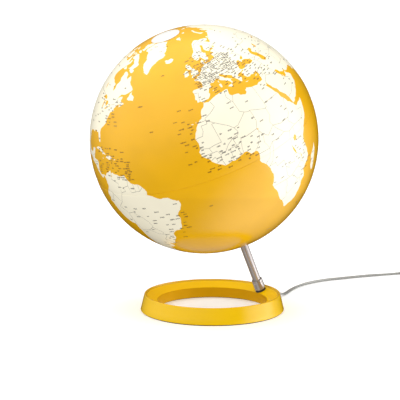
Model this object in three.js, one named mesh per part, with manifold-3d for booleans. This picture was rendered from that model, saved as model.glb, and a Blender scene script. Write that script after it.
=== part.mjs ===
// Desktop globe with a lamp inside, on a tilted tube that stands in a ring base.
// Millimetres, +Z up. The origin is on the table, straight under the globe's centre.
// The globe's north pole leans towards -X and the tube's foot stands towards +X.
import * as THREE from 'three';
import { mergeVertices } from 'three/addons/utils/BufferGeometryUtils.js';
import Module from 'manifold-3d';

const wasm = await Module();
wasm.setup();

// ---------------------------------------------------------------- driving dimensions

const GAP = 0.3;                    // clearance between pieces that touch

const GLOBE_RADIUS = 150;
const GLOBE_HEIGHT = 230.65;        // globe's centre above the table
const TILT = rad(23.44);            // globe's axis from the vertical
const SHELL_WALL = 2.2;
const SHELL_STEP = rad(10);         // latitude step of the shell's facets
const SHELL_SEGMENTS = 36;          // facets round the globe's axis
const SEGMENTS = 24;                // facets round the smaller turned pieces

const RING_OFFSET = 13.3;           // ring's centre from the origin, along +X
const RING_OUTER = 95.9;            // outer wall at the table
const RING_RIM = 90.7;              // outer wall at the top rim
const RING_INNER = 73;
const RING_HEIGHT = 22.7;
const RING_RIDGE = 14.2;            // height of the sloping top at the inner edge
const RING_WALL = 2.4;
const RING_SEGMENTS = 48;
const LIP_RADIUS = 1.1;             // rounding of the top rim
const FOOT_THICKNESS = 0.9;
const SHELL_FOOT = 1.2;             // lower edge of the ring's moulding
const PLATE_TOP = 3.2;
const BOSS_CIRCLE = 84;             // radius on which the bottom plate's screws stand
const BOSS_RADIUS = 3.6;
const BOSS_ANGLES = [60, 180, 300];

const TUBE_RADIUS = 5.5;
const TUBE_BORE = 4.3;
const TUBE_TOP = -94;               // heights on the tilted axis, from the globe's centre
const SEAT = -232.9;                // where the axis meets the ring's sloping top
const NIPPLE_RADIUS = 4;            // M8 threaded nipple between the tube and the ring
const NIPPLE_FOOT = -242.6;

const SOUTH_OPENING = 30;
const NORTH_OPENING = 4.3;
const CAP_RADIUS = 19;

const EXIT_HEIGHT = 6.3;            // strain relief's axis above the table
const EXIT_PLACE = rad(5);          // place of the cord's exit round the ring
const EXIT_HEADING = rad(9);        // direction in which the cord leaves
const EXIT_FLATTEN = 0.68;          // height of the strain relief over its width
const RELIEF_LENGTH = 20;

const CORD_WIDTH = 5;
const CORD_THICKNESS = 2.8;
const COIL_CENTRE = [390.9, -3.7];
const COIL_INNER = 19.3;
const COIL_OUTER = 34.2;
const COIL_TURN = 32.5;             // radius at which the cord joins and leaves the coil
const COIL_TOP = 11.3;
const COIL_LEAVES = rad(-120);      // heading of the cord as it leaves the coil
const CORD_ENTRY = 6;               // cord's height where it enters the switch

const SWITCH_LENGTH = 58;
const SWITCH_WIDTH = 24;
const SWITCH_HEIGHT = 14;
const SWITCH_AWAY = 71;             // switch's centre from the point where the cord leaves the coil
const SWITCH_WALL = 1.6;
const ROCKER_TILT = rad(7);
const ROCKER_PIVOT = 10.8;
const PLUG_HEADING = rad(-170);
const PLUG_TURN = 46;               // radius of the bend between switch and plug
const PLUG_HEIGHT = 13.4;
const PLUG_LENGTH = 40;
const PIN_SPACING = 18.6;

// The cord's centreline from the strain relief to the coil.
const LEAD_ROUTE = [
  [127.45, 11.4, 6.3], [133.5, 12.6, 5.9], [139.5, 15.0, 4.9], [146.0, 18.6, 3.4], [153.3, 23.5, 2.2],
  [163.5, 30.8, 1.7], [174.0, 37.7, 1.6], [188.5, 45.9, 1.6], [204.3, 52.5, 1.6], [216.0, 55.8, 1.6],
  [227.9, 57.8, 1.6], [238.0, 58.7, 1.6], [248.5, 58.9, 1.6], [260.0, 57.9, 1.6], [271.5, 56.0, 1.6],
  [289.0, 53.4, 1.6], [306.0, 50.7, 1.6], [322.0, 47.6, 1.6], [337.4, 44.2, 1.6], [353.0, 40.6, 1.6],
  [369.0, 36.9, 1.9], [377.0, 34.9, 2.4], [384.6, 32.8, 2.8],
];

// ---------------------------------------------------------------- looks

const LOOKS = {
  map: { color: 0xf2b01e, roughness: 0.25, metalness: 0 },
  cap: { color: 0xf6f2e6, roughness: 0.35, metalness: 0 },
  yellow: { color: 0xf2bd12, roughness: 0.15, metalness: 0 },
  chrome: { color: 0xd9d9dc, roughness: 0.08, metalness: 1 },
  steel: { color: 0x9a9a9c, roughness: 0.35, metalness: 1 },
  brass: { color: 0xc9a44c, roughness: 0.3, metalness: 1 },
  iron: { color: 0x4a4a4c, roughness: 0.7, metalness: 0.6 },
  dark: { color: 0x2b2a28, roughness: 0.8, metalness: 0 },
  white: { color: 0xf0f0ea, roughness: 0.4, metalness: 0 },
  frosted: { color: 0xfaf8f0, roughness: 0.6, metalness: 0 },
  clear: { color: 0xb9b9af, roughness: 0.3, metalness: 0 },
};

// ---------------------------------------------------------------- helpers

function rad(degrees) {
  return THREE.MathUtils.degToRad(degrees);
}

// Leaves only shared positions, with the faces pointing out.
function closed(geometry) {
  geometry.deleteAttribute('normal');
  geometry.deleteAttribute('uv');
  const welded = mergeVertices(geometry, 1e-4);
  const index = Array.from(welded.index.array);
  const kept = [];
  for (let i = 0; i < index.length; i += 3) {
    const [a, b, c] = index.slice(i, i + 3);
    if (a !== b && b !== c && c !== a) kept.push(a, b, c);
  }
  if (signedVolume(welded, kept) < 0) kept.reverse();
  welded.setIndex(kept);
  return welded;
}

function signedVolume(geometry, index) {
  const position = geometry.attributes.position;
  const [a, b, c] = [new THREE.Vector3(), new THREE.Vector3(), new THREE.Vector3()];
  let volume = 0;
  for (let i = 0; i < index.length; i += 3) {
    a.fromBufferAttribute(position, index[i]);
    b.fromBufferAttribute(position, index[i + 1]);
    c.fromBufferAttribute(position, index[i + 2]);
    volume += a.dot(b.cross(c)) / 6;
  }
  return volume;
}

function solidOf(geometry) {
  const mesh = closed(geometry.clone());
  const vertProperties = Float32Array.from(mesh.attributes.position.array);
  const triVerts = Uint32Array.from(mesh.index.array);
  return new wasm.Manifold(new wasm.Mesh({ numProp: 3, vertProperties, triVerts }));
}

function geometryOf(solid) {
  const mesh = solid.getMesh();
  const geometry = new THREE.BufferGeometry();
  geometry.setAttribute('position', new THREE.BufferAttribute(new Float32Array(mesh.vertProperties), 3));
  geometry.setIndex(Array.from(mesh.triVerts));
  return geometry;
}

function cut(geometry, ...tools) {
  return geometryOf(tools.reduce((solid, tool) => solid.subtract(solidOf(tool)), solidOf(geometry)));
}

function join(geometry, ...others) {
  return geometryOf(others.reduce((solid, other) => solid.add(solidOf(other)), solidOf(geometry)));
}

// A profile of [radius, height] turned round the Z axis.
function revolve(profile, segments = SEGMENTS) {
  const points = profile.map(([radius, height]) => new THREE.Vector2(radius, height));
  return closed(new THREE.LatheGeometry(points, segments).rotateX(Math.PI / 2));
}

// The same, for a section that doesn't reach the axis.
function revolveLoop(profile, segments = SEGMENTS) {
  return revolve([...profile, profile[0]], segments);
}

function sleeve(inner, outer, bottom, top, segments = SEGMENTS) {
  return revolveLoop([[inner, bottom], [outer, bottom], [outer, top], [inner, top]], segments);
}

function post(radius, bottom, top, sides = 20) {
  return revolve([[0, bottom], [radius, bottom], [radius, top], [0, top]], sides);
}

function block(length, width, height) {
  return new THREE.BoxGeometry(length, width, height);
}

// An outline in the XY plane, raised from one height to another.
function slab(shape, bottom, top, curveSegments = 12) {
  const options = { depth: top - bottom, bevelEnabled: false, curveSegments };
  return closed(new THREE.ExtrudeGeometry(shape, options).translate(0, 0, bottom));
}

// Part of a flat ring, between two angles.
function sector(inner, outer, from, to, bottom, top, curveSegments = 12) {
  const shape = new THREE.Shape();
  shape.absarc(0, 0, outer, from, to, false);
  shape.absarc(0, 0, inner, to, from, true);
  return slab(shape, bottom, top, curveSegments);
}

function roundedOutline(length, width, radius) {
  const [x, y] = [length / 2, width / 2];
  const shape = new THREE.Shape();
  shape.absarc(x - radius, y - radius, radius, 0, Math.PI / 2, false);
  shape.absarc(-x + radius, y - radius, radius, Math.PI / 2, Math.PI, false);
  shape.absarc(-x + radius, -y + radius, radius, Math.PI, 1.5 * Math.PI, false);
  shape.absarc(x - radius, -y + radius, radius, 1.5 * Math.PI, 2 * Math.PI, false);
  return shape;
}

function regularOutline(radius, sides) {
  const corners = [];
  for (let i = 0; i < sides; i += 1) {
    const angle = (2 * Math.PI * (i + 0.5)) / sides;
    corners.push(new THREE.Vector2(radius * Math.cos(angle), radius * Math.sin(angle)));
  }
  return new THREE.Shape(corners);
}

// A flat cord's section: its thickness lies along the path's first normal, its width across.
function cordSection() {
  const [thick, wide] = [CORD_THICKNESS / 2, CORD_WIDTH / 2];
  const shoulder = 0.55;
  return new THREE.Shape([
    new THREE.Vector2(thick, -wide * shoulder), new THREE.Vector2(thick, wide * shoulder),
    new THREE.Vector2(thick * shoulder, wide), new THREE.Vector2(-thick * shoulder, wide),
    new THREE.Vector2(-thick, wide * shoulder), new THREE.Vector2(-thick, -wide * shoulder),
    new THREE.Vector2(-thick * shoulder, -wide), new THREE.Vector2(thick * shoulder, -wide),
  ]);
}

function sweep(section, path, steps) {
  const options = { steps, extrudePath: path, bevelEnabled: false, curveSegments: 4 };
  return closed(new THREE.ExtrudeGeometry(section, options));
}

function vector(point) {
  return new THREE.Vector3(...point);
}

function heading(angle) {
  return new THREE.Vector3(Math.cos(angle), Math.sin(angle), 0);
}

function piece(name, geometry, look) {
  const mesh = new THREE.Mesh(geometry, new THREE.MeshStandardMaterial(LOOKS[look]));
  mesh.name = name;
  return mesh;
}

function place(group, position, turn = 0) {
  group.position.copy(position);
  group.rotation.z = turn;
  return group;
}

// A group whose +Z runs up the globe's tilted axis, from the globe's centre.
function tiltedGroup(...children) {
  const group = new THREE.Group();
  group.position.z = GLOBE_HEIGHT;
  group.rotation.y = -TILT;
  return group.add(...children);
}

// A group standing on the table at the ring's centre.
function ringGroup(...children) {
  const group = new THREE.Group();
  group.position.x = RING_OFFSET;
  return group.add(...children);
}

// Turns a shape made in the tilted group into the ring's own frame, to cut the ring with it.
function tiltedInRing(geometry) {
  return geometry.clone().rotateY(-TILT).translate(-RING_OFFSET, 0, GLOBE_HEIGHT);
}

// ---------------------------------------------------------------- globe

function shellLatitudes(radius, opening) {
  const last = Math.acos(opening / radius);
  const latitudes = [Math.asin(GAP / 2 / radius)];
  for (let latitude = SHELL_STEP; latitude < last - SHELL_STEP / 4; latitude += SHELL_STEP) latitudes.push(latitude);
  return [...latitudes, last];
}

function shellArc(radius, opening) {
  return shellLatitudes(radius, opening).map((angle) => [radius * Math.cos(angle), radius * Math.sin(angle)]);
}

function hemisphere(opening) {
  const outside = shellArc(GLOBE_RADIUS, opening);
  const inside = shellArc(GLOBE_RADIUS - SHELL_WALL, opening).reverse();
  return revolveLoop([...outside, ...inside], SHELL_SEGMENTS);
}

function northHemisphere() {
  return piece('north_hemisphere', hemisphere(NORTH_OPENING), 'map');
}

function southHemisphere() {
  return piece('south_hemisphere', closed(hemisphere(SOUTH_OPENING).rotateX(Math.PI)), 'map');
}

// Joins the two hemispheres on the inside.
function equatorBand() {
  return piece('equator_band', sleeve(144.4, 146.8, -5, 5, SHELL_SEGMENTS), 'white');
}

// A thin dome over the north pole, with a stem through the shell.
function northCap() {
  const stem = NORTH_OPENING - GAP - 0.1;
  const edge = Math.asin(CAP_RADIUS / GLOBE_RADIUS);
  const [under, over] = [GLOBE_RADIUS + GAP, GLOBE_RADIUS + 1.3];
  const dome = (radius, angle) => [radius * Math.sin(angle), radius * Math.cos(angle)];
  return piece('north_cap', revolve([
    [0, 139.5], [stem, 139.5], [stem, under], dome(under, edge / 2), dome(under, edge),
    dome(over, edge), dome(over, edge * 0.67), dome(over, edge * 0.33), [0, over],
  ]), 'cap');
}

function capNut() {
  return piece('cap_nut', sleeve(NORTH_OPENING, 8, 143, 146.8), 'white');
}

// Glued in the south opening: a sleeve with a groove for the plate's lugs and slots to let them in.
function southRing() {
  const section = [
    [27.4, -147.6], [29.6, -147.6], [29.6, -142.3], [36, -142.3], [36, -140.5],
    [27.4, -140.5], [27.4, -142.9], [28.8, -142.9], [28.8, -145.3], [27.4, -145.3],
  ];
  const slots = [60, 180, 300].map((angle) => {
    return sector(26, 28.8, rad(angle - 18), rad(angle + 18), -148, -145, 6);
  });
  return piece('south_ring', cut(revolveLoop(section), ...slots), 'white');
}

// Closes the south opening. Its hub sits on the bush and turns round the tube.
function southPlate() {
  const section = [
    [10.2, -147.4], [27, -147.4], [27, -143.3], [24.8, -143.3], [24.8, -145.4], [12.6, -145.4],
    [12.6, -132], [8.3, -132], [8.3, -137.9], [10.2, -137.9],
  ];
  const lugs = [0, 120, 240].map((angle) => {
    return sector(25.5, 28.4, rad(angle - 14), rad(angle + 14), -144.9, -143.3, 5);
  });
  return piece('south_plate', join(revolveLoop(section), ...lugs), 'white');
}

// Flanged nylon bush between the plate's hub and the tube.
function bearingBush() {
  return piece('bearing_bush', revolveLoop([
    [5.9, -139.2], [9.7, -139.2], [9.7, -138.2], [8, -138.2], [8, -132], [5.9, -132],
  ]), 'white');
}

function globe() {
  return tiltedGroup(
    northHemisphere(), southHemisphere(), equatorBand(), northCap(), capNut(),
    southRing(), southPlate(), bearingBush(),
  );
}

// ---------------------------------------------------------------- tube and lamp

function supportTube() {
  return piece('support_tube', sleeve(TUBE_BORE, TUBE_RADIUS, SEAT + GAP, TUBE_TOP), 'chrome');
}

// Screwed into the tube's foot and held under the ring's slope by a nut.
function threadedNipple() {
  return piece('threaded_nipple', sleeve(2.9, NIPPLE_RADIUS, NIPPLE_FOOT, SEAT + 21, 20), 'brass');
}

// Fixed on the tube inside the plate's hub; the globe's weight rests on it.
function bearingCollar() {
  const hole = post(1.8, 5, 12, 12).rotateY(Math.PI / 2).translate(0, 0, -142);
  return piece('bearing_collar', cut(sleeve(5.8, 9.6, -144.5, -139.5), hole), 'steel');
}

function collarScrew() {
  return piece('collar_screw', post(1.5, 5.9, 9.3, 12).rotateY(Math.PI / 2).translate(0, 0, -142), 'steel');
}

// Open clip that keeps the hub from lifting off the collar.
function retainingClip() {
  return piece('retaining_clip', sector(5.8, 9, rad(25), rad(335), -131.6, -130.4, 8), 'steel');
}

function lampHolder() {
  return piece('lamp_holder', revolveLoop([
    [5.8, -98], [12, -98], [13.5, -96], [13.5, -64], [12.5, -62.2], [8.2, -62.2],
    [8.2, -90], [2.6, -90], [2.6, -93.6], [5.8, -93.6],
  ], 20), 'white');
}

function holderContact() {
  return piece('holder_contact', post(4.5, -89.7, -88.9), 'brass');
}

function bulbScrewCap() {
  return piece('bulb_screw_cap', revolve([
    [0, -88.5], [2.5, -88.5], [4, -86], [6.8, -84.5], [6.8, -62], [0, -62],
  ], 20), 'steel');
}

function bulbBody() {
  return piece('bulb_body', revolve([[0, -61.7], [8.5, -61.7], [12, -58], [20.5, -44], [0, -44]], 20), 'white');
}

function bulbDiffuser() {
  const [radius, centre] = [22.5, -28.5];
  const start = Math.asin((-43.7 - centre) / radius);
  const steps = 6;
  const dome = [];
  for (let i = 0; i < steps; i += 1) {
    const angle = start + ((Math.PI / 2 - start) * i) / steps;
    dome.push([radius * Math.cos(angle), centre + radius * Math.sin(angle)]);
  }
  return piece('bulb_diffuser', revolve([[0, dome[0][1]], ...dome, [0, centre + radius]], 20), 'frosted');
}

// Chromed foot of the tube, on a dark washer that lies on the ring's slope.
function ferrule() {
  return piece('ferrule', revolveLoop([
    [5.8, SEAT + 2.7], [7.25, SEAT + 2.7], [7.25, SEAT + 16.4], [6.6, SEAT + 17.2], [5.8, SEAT + 17.2],
  ]), 'chrome');
}

function seatWasher() {
  return piece('seat_washer', sleeve(5.8, 8, SEAT + GAP, SEAT + 2.4), 'dark');
}

function lockWasher() {
  const top = SEAT - RING_WALL - GAP;
  return piece('lock_washer', sleeve(NIPPLE_RADIUS + GAP, 6.4, top - 1.2, top, 20), 'steel');
}

function tubeNut() {
  const top = SEAT - RING_WALL - 1.2 - 2 * GAP;
  const hexagon = regularOutline(12 / Math.sqrt(3), 6);
  hexagon.holes.push(new THREE.Path().absarc(0, 0, NIPPLE_RADIUS + GAP, 0, 2 * Math.PI, true));
  return piece('tube_nut', slab(hexagon, top - 4.2, top, 6), 'steel');
}

function tubeAndLamp() {
  return tiltedGroup(
    supportTube(), threadedNipple(), bearingCollar(), collarScrew(), retainingClip(), lampHolder(), holderContact(),
    bulbScrewCap(), bulbBody(), bulbDiffuser(), ferrule(), seatWasher(), lockWasher(), tubeNut(),
  );
}

// ---------------------------------------------------------------- ring base

function outerWall(height) {
  return RING_OUTER - ((RING_OUTER - RING_RIM) * height) / RING_HEIGHT;
}

function slopingTop(radius) {
  return RING_RIDGE + (radius - RING_INNER) * Math.tan(TILT);
}

// The moulding: a flared outer wall with a rounded rim, a top that slopes down to the inner
// edge square to the tube, and a groove beneath for the ballast and the lead.
function ringMoulding() {
  const lip = RING_RIM - LIP_RADIUS;
  const lipHeight = RING_HEIGHT - LIP_RADIUS;
  const profile = [[RING_INNER, SHELL_FOOT], [RING_INNER + RING_WALL, SHELL_FOOT]];
  const roof = RING_WALL / Math.cos(TILT);
  const grooveInner = RING_INNER + RING_WALL;
  const grooveOuter = outerWall(slopingTop(lip) - roof) - RING_WALL;
  profile.push([grooveInner, slopingTop(grooveInner) - roof], [grooveOuter, slopingTop(grooveOuter) - roof]);
  profile.push([outerWall(SHELL_FOOT) - RING_WALL, SHELL_FOOT], [outerWall(SHELL_FOOT), SHELL_FOOT]);
  profile.push([outerWall(lipHeight), lipHeight]);
  for (const angle of [45, 90, 135]) {
    profile.push([lip + LIP_RADIUS * Math.cos(rad(angle)), lipHeight + LIP_RADIUS * Math.sin(rad(angle))]);
  }
  profile.push([lip - LIP_RADIUS, lipHeight], [lip - LIP_RADIUS - 0.4, slopingTop(lip - LIP_RADIUS - 0.4)]);
  profile.push([RING_INNER + 1, slopingTop(RING_INNER + 1)], [RING_INNER, slopingTop(RING_INNER) - 0.5]);
  return revolveLoop(profile, RING_SEGMENTS);
}

function around(geometry, radius, degrees) {
  return geometry.translate(radius * Math.cos(rad(degrees)), radius * Math.sin(rad(degrees)), 0);
}

// Flattened tool or piece on the cord's exit line, whose own Z axis runs out of the ring.
function onExitLine(geometry) {
  const radius = outerWall(EXIT_HEIGHT);
  return geometry
    .rotateY(Math.PI / 2)
    .scale(1, 1, EXIT_FLATTEN)
    .rotateZ(EXIT_HEADING)
    .translate(radius * Math.cos(EXIT_PLACE), radius * Math.sin(EXIT_PLACE), EXIT_HEIGHT);
}

function baseRing() {
  const bossRoof = slopingTop(BOSS_CIRCLE - BOSS_RADIUS) - 1;
  const bosses = BOSS_ANGLES.map((angle) => around(post(BOSS_RADIUS, 3.5, bossRoof, 10), BOSS_CIRCLE, angle));
  const pilots = BOSS_ANGLES.map((angle) => around(post(1.8, 3, 10.5, 10), BOSS_CIRCLE, angle));
  const tubeHole = tiltedInRing(post(NIPPLE_RADIUS + GAP, SEAT - 6, SEAT + 6, 16));
  const washerSeat = tiltedInRing(post(6.8, SEAT - RING_WALL - 4, SEAT - RING_WALL, 16));
  const exitHole = onExitLine(post(3.3, -5, 3, 12));
  return piece('base_ring', cut(join(ringMoulding(), ...bosses), ...pilots, tubeHole, washerSeat, exitHole), 'yellow');
}

// Open steel ring in the groove, with holes for the bosses and a gap at the tube's foot.
function ballastWeight() {
  const plain = sector(76.4, 89, rad(24), rad(336), 4, 10.4, 20);
  const holes = BOSS_ANGLES.map((angle) => around(post(BOSS_RADIUS + 0.6, 3, 12, 12), BOSS_CIRCLE, angle));
  return piece('ballast_weight', cut(plain, ...holes), 'iron');
}

function bottomPlate() {
  const plain = sleeve(75.8, 92.3, SHELL_FOOT, PLATE_TOP, RING_SEGMENTS);
  const holes = BOSS_ANGLES.flatMap((angle) => [
    around(post(1.9, 0, 5, 10), BOSS_CIRCLE, angle),
    around(post(3.2, 0, SHELL_FOOT + 1.2, 12), BOSS_CIRCLE, angle),
  ]);
  return piece('bottom_plate', cut(plain, ...holes), 'dark');
}

function plateScrew(number) {
  const profile = [[0, 1.3], [2.8, 1.3], [2.8, 2.1], [1.5, 2.1], [1.5, 9.8], [0, 10.2]];
  const geometry = around(revolve(profile, 12), BOSS_CIRCLE, BOSS_ANGLES[number - 1]);
  return piece(`plate_screw_${number}`, geometry, 'steel');
}

function footRing() {
  return piece('foot_ring', sleeve(74.5, 94, 0, FOOT_THICKNESS, RING_SEGMENTS), 'dark');
}

// Bush that grips the cord in the outer wall, with a tapered tail outside.
function strainRelief() {
  const profile = [
    [0, -5.6], [4.2, -5.6], [4.2, -3.6], [2.9, -3.6], [2.9, 0.5], [4.2, 0.8], [4.2, 2.2],
    [3.9, 3], [3.1, RELIEF_LENGTH], [0, RELIEF_LENGTH],
  ];
  return piece('strain_relief', onExitLine(revolve(profile, 14)), 'clear');
}

function ringBase() {
  return ringGroup(
    baseRing(), ballastWeight(), bottomPlate(), plateScrew(1), plateScrew(2), plateScrew(3),
    footRing(), strainRelief(),
  );
}

// Twin lead from the lamp holder down the tube's bore and round to the strain relief.
function innerLead() {
  const down = new THREE.Vector3(Math.sin(TILT), 0, -Math.cos(TILT));
  const centre = new THREE.Vector3(0, 0, GLOBE_HEIGHT);
  const top = centre.clone().addScaledVector(down, 90.4);
  const foot = centre.clone().addScaledVector(down, -NIPPLE_FOOT + 0.4);
  const out = heading(EXIT_HEADING);
  const radius = outerWall(EXIT_HEIGHT);
  const relief = new THREE.Vector3(RING_OFFSET, 0, EXIT_HEIGHT).addScaledVector(heading(EXIT_PLACE), radius);
  const end = relief.addScaledVector(out, -5.6 - GAP);
  const path = new THREE.CurvePath();
  path.add(new THREE.LineCurve3(top, foot));
  path.add(new THREE.CubicBezierCurve3(
    foot,
    foot.clone().addScaledVector(down, 4.5),
    end.clone().addScaledVector(out, -4),
    end,
  ));
  return piece('inner_lead', sweep(regularOutline(1.6, 8), path, 24), 'clear');
}

// ---------------------------------------------------------------- cord, switch and plug

const leaving = heading(COIL_LEAVES);
const coilExit = new THREE.Vector3(...COIL_CENTRE, 0)
  .addScaledVector(heading(COIL_LEAVES + Math.PI / 2), COIL_TURN);
const switchPlace = coilExit.clone().addScaledVector(leaving, SWITCH_AWAY);
const switchEnd = coilExit.clone().addScaledVector(leaving, SWITCH_AWAY + SWITCH_LENGTH / 2);
const plugPlace = switchEnd.clone()
  .addScaledVector(heading(COIL_LEAVES - Math.PI / 2), PLUG_TURN)
  .addScaledVector(heading(PLUG_HEADING + Math.PI / 2), PLUG_TURN);

function cordLead() {
  const path = new THREE.CatmullRomCurve3(LEAD_ROUTE.map(vector));
  return piece('cord_lead', sweep(cordSection(), path, 28), 'clear');
}

function cordCoil() {
  const chamfer = 2;
  const ring = revolveLoop([
    [COIL_INNER + chamfer, 0.2], [COIL_OUTER - chamfer, 0.2], [COIL_OUTER, 0.2 + chamfer],
    [COIL_OUTER, COIL_TOP - chamfer], [COIL_OUTER - chamfer, COIL_TOP],
    [COIL_INNER + chamfer, COIL_TOP], [COIL_INNER, COIL_TOP - chamfer], [COIL_INNER, 0.2 + chamfer],
  ], 28);
  const mesh = piece('cord_coil', ring, 'clear');
  return place(mesh, new THREE.Vector3(...COIL_CENTRE, 0));
}

function cordCoilTail() {
  const start = coilExit.clone().addScaledVector(leaving, 19).setZ(7.6);
  const end = switchPlace.clone().addScaledVector(leaving, -SWITCH_LENGTH / 2 - GAP).setZ(CORD_ENTRY);
  return piece('cord_coil_tail', sweep(cordSection(), new THREE.LineCurve3(start, end), 2), 'clear');
}

// The bend from the switch to the plug, dipping to the table between them.
function cordPlugTail() {
  const centre = switchEnd.clone().addScaledVector(heading(COIL_LEAVES - Math.PI / 2), PLUG_TURN);
  const [first, last] = [COIL_LEAVES + Math.PI / 2, PLUG_HEADING + Math.PI / 2];
  const margin = GAP / PLUG_TURN;
  const heights = [CORD_ENTRY, 5.0, 3.6, 3.0, 3.8, 5.4, PLUG_HEIGHT / 2];
  const points = heights.map((height, i) => {
    const share = i / (heights.length - 1);
    const angle = first - margin + (last - first + 2 * margin) * share;
    return centre.clone().addScaledVector(heading(angle), PLUG_TURN).setZ(height);
  });
  return piece('cord_plug_tail', sweep(cordSection(), new THREE.CatmullRomCurve3(points), 6), 'clear');
}

// Passage for the cord along the switch, half in each shell.
function cordPassage() {
  return block(SWITCH_LENGTH + 4, CORD_WIDTH + 0.8, CORD_THICKNESS + 0.8).translate(0, 0, CORD_ENTRY);
}

const SWITCH_SCREWS = [[19, -6.8], [-19, 6.8]];

function switchBosses(bottom, top) {
  return SWITCH_SCREWS.map(([x, y]) => post(3, bottom, top, 10).translate(x, y, 0));
}

function switchHoles(radius, bottom, top) {
  return SWITCH_SCREWS.map(([x, y]) => post(radius, bottom, top, 10).translate(x, y, 0));
}

function switchShell(bottom, top, floor, roof) {
  const outside = slab(roundedOutline(SWITCH_LENGTH, SWITCH_WIDTH, 9), bottom, top, 4);
  const inset = 2 * SWITCH_WALL;
  const inside = slab(roundedOutline(SWITCH_LENGTH - inset, SWITCH_WIDTH - inset, 7.4), floor, roof, 4);
  return cut(outside, inside);
}

function switchLowerHalf() {
  const parting = CORD_ENTRY - GAP / 2;
  const shell = switchShell(0.2, parting, 0.2 + SWITCH_WALL, parting + 1);
  const whole = join(shell, ...switchBosses(1, parting));
  const holes = [...switchHoles(1.8, 0, parting + 1), ...switchHoles(2.9, 0, 1.4)];
  return piece('switch_lower_half', cut(whole, cordPassage(), ...holes), 'white');
}

function switchUpperHalf() {
  const parting = CORD_ENTRY + GAP / 2;
  const shell = switchShell(parting, SWITCH_HEIGHT, parting - 1, SWITCH_HEIGHT - SWITCH_WALL);
  const lugs = [-1, 1].map((side) => block(5, 2, 4.6).translate(0, side * 5.9, 10.6));
  const whole = join(shell, ...switchBosses(parting, SWITCH_HEIGHT - 1), ...lugs);
  const window = block(18.2, 9.8, 6).translate(0, 0, SWITCH_HEIGHT);
  const pinHole = post(1.1, -8, 8, 12).rotateX(Math.PI / 2).translate(0, 0, ROCKER_PIVOT);
  const holes = switchHoles(1.8, parting - 1, 12);
  return piece('switch_upper_half', cut(whole, cordPassage(), window, pinHole, ...holes), 'white');
}

function switchScrew(number) {
  const [x, y] = SWITCH_SCREWS[number - 1];
  const profile = [[0, 0.3], [2.6, 0.3], [2.6, 1.1], [1.5, 1.1], [1.5, 11.2], [0, 11.6]];
  return piece(`switch_screw_${number}`, revolve(profile, 12).translate(x, y, 0), 'steel');
}

function rockerPin() {
  const geometry = post(0.8, -6.6, 6.6, 12).rotateX(Math.PI / 2).translate(0, 0, ROCKER_PIVOT);
  return piece('rocker_pin', geometry, 'steel');
}

function switchContact(number) {
  const side = number === 1 ? -1 : 1;
  return piece(`switch_contact_${number}`, block(7, 4, 0.8).translate(side * 9, 0, 2.6), 'brass');
}

function switchRocker() {
  const outline = new THREE.Shape([
    [-7.5, 0], [-2.5, -4.2], [2.5, -4.2], [7.5, 0], [7.5, 4.2], [4, 3.3], [0, 3], [-4, 3.3], [-7.5, 4.2],
  ].map(([x, y]) => new THREE.Vector2(x, y)));
  const body = slab(outline, -4.5, 4.5).rotateX(Math.PI / 2);
  const bore = post(1.1, -6, 6, 12).rotateX(Math.PI / 2);
  const geometry = cut(body, bore).rotateY(ROCKER_TILT).translate(0, 0, ROCKER_PIVOT);
  return piece('switch_rocker', geometry, 'dark');
}

function inlineSwitch() {
  const group = new THREE.Group();
  group.add(
    switchLowerHalf(), switchUpperHalf(), switchScrew(1), switchScrew(2), rockerPin(),
    switchContact(1), switchContact(2), switchRocker(),
  );
  return place(group, switchPlace, COIL_LEAVES);
}

// Two-pin plug lying flat: a body that narrows to the cord, moulded round its pins.
function plugBody() {
  const [neck, waist, half] = [4.2, 9, 17.2];
  const outline = new THREE.Shape([
    [GAP, -neck], [17, -neck - 0.8], [24, -waist - 3], [31, -half], [PLUG_LENGTH, -half],
    [PLUG_LENGTH, half], [31, half], [24, waist + 3], [17, neck + 0.8], [GAP, neck],
  ].map(([x, y]) => new THREE.Vector2(x, y)));
  const sockets = [-1, 1].map((side) => {
    return post(2.3, PLUG_LENGTH - 8, PLUG_LENGTH + 1, 16).rotateY(Math.PI / 2)
      .translate(0, (side * PIN_SPACING) / 2, PLUG_HEIGHT / 2);
  });
  return piece('plug_body', cut(slab(outline, 0.2, PLUG_HEIGHT), ...sockets), 'white');
}

function plugPin(number) {
  const side = number === 1 ? -1 : 1;
  const profile = [[0, 32.3], [2, 32.3], [2, PLUG_LENGTH + 18], [1.2, PLUG_LENGTH + 19], [0, PLUG_LENGTH + 19]];
  const geometry = revolve(profile, 16).rotateY(Math.PI / 2)
    .translate(0, (side * PIN_SPACING) / 2, PLUG_HEIGHT / 2);
  return piece(`plug_pin_${number}`, geometry, 'chrome');
}

function plug() {
  const group = new THREE.Group();
  group.add(plugBody(), plugPin(1), plugPin(2));
  return place(group, plugPlace, PLUG_HEADING);
}

function cordAndFittings() {
  const group = new THREE.Group();
  return group.add(cordLead(), cordCoil(), cordCoilTail(), cordPlugTail(), inlineSwitch(), plug());
}

// ---------------------------------------------------------------- whole object

const group = new THREE.Group();
group.add(ringBase(), tubeAndLamp(), innerLead(), globe(), cordAndFittings());

export default group;
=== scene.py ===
import math
import random

import bpy
from mathutils import Matrix, Vector, noise
from mathutils.geometry import delaunay_2d_cdt


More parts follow.
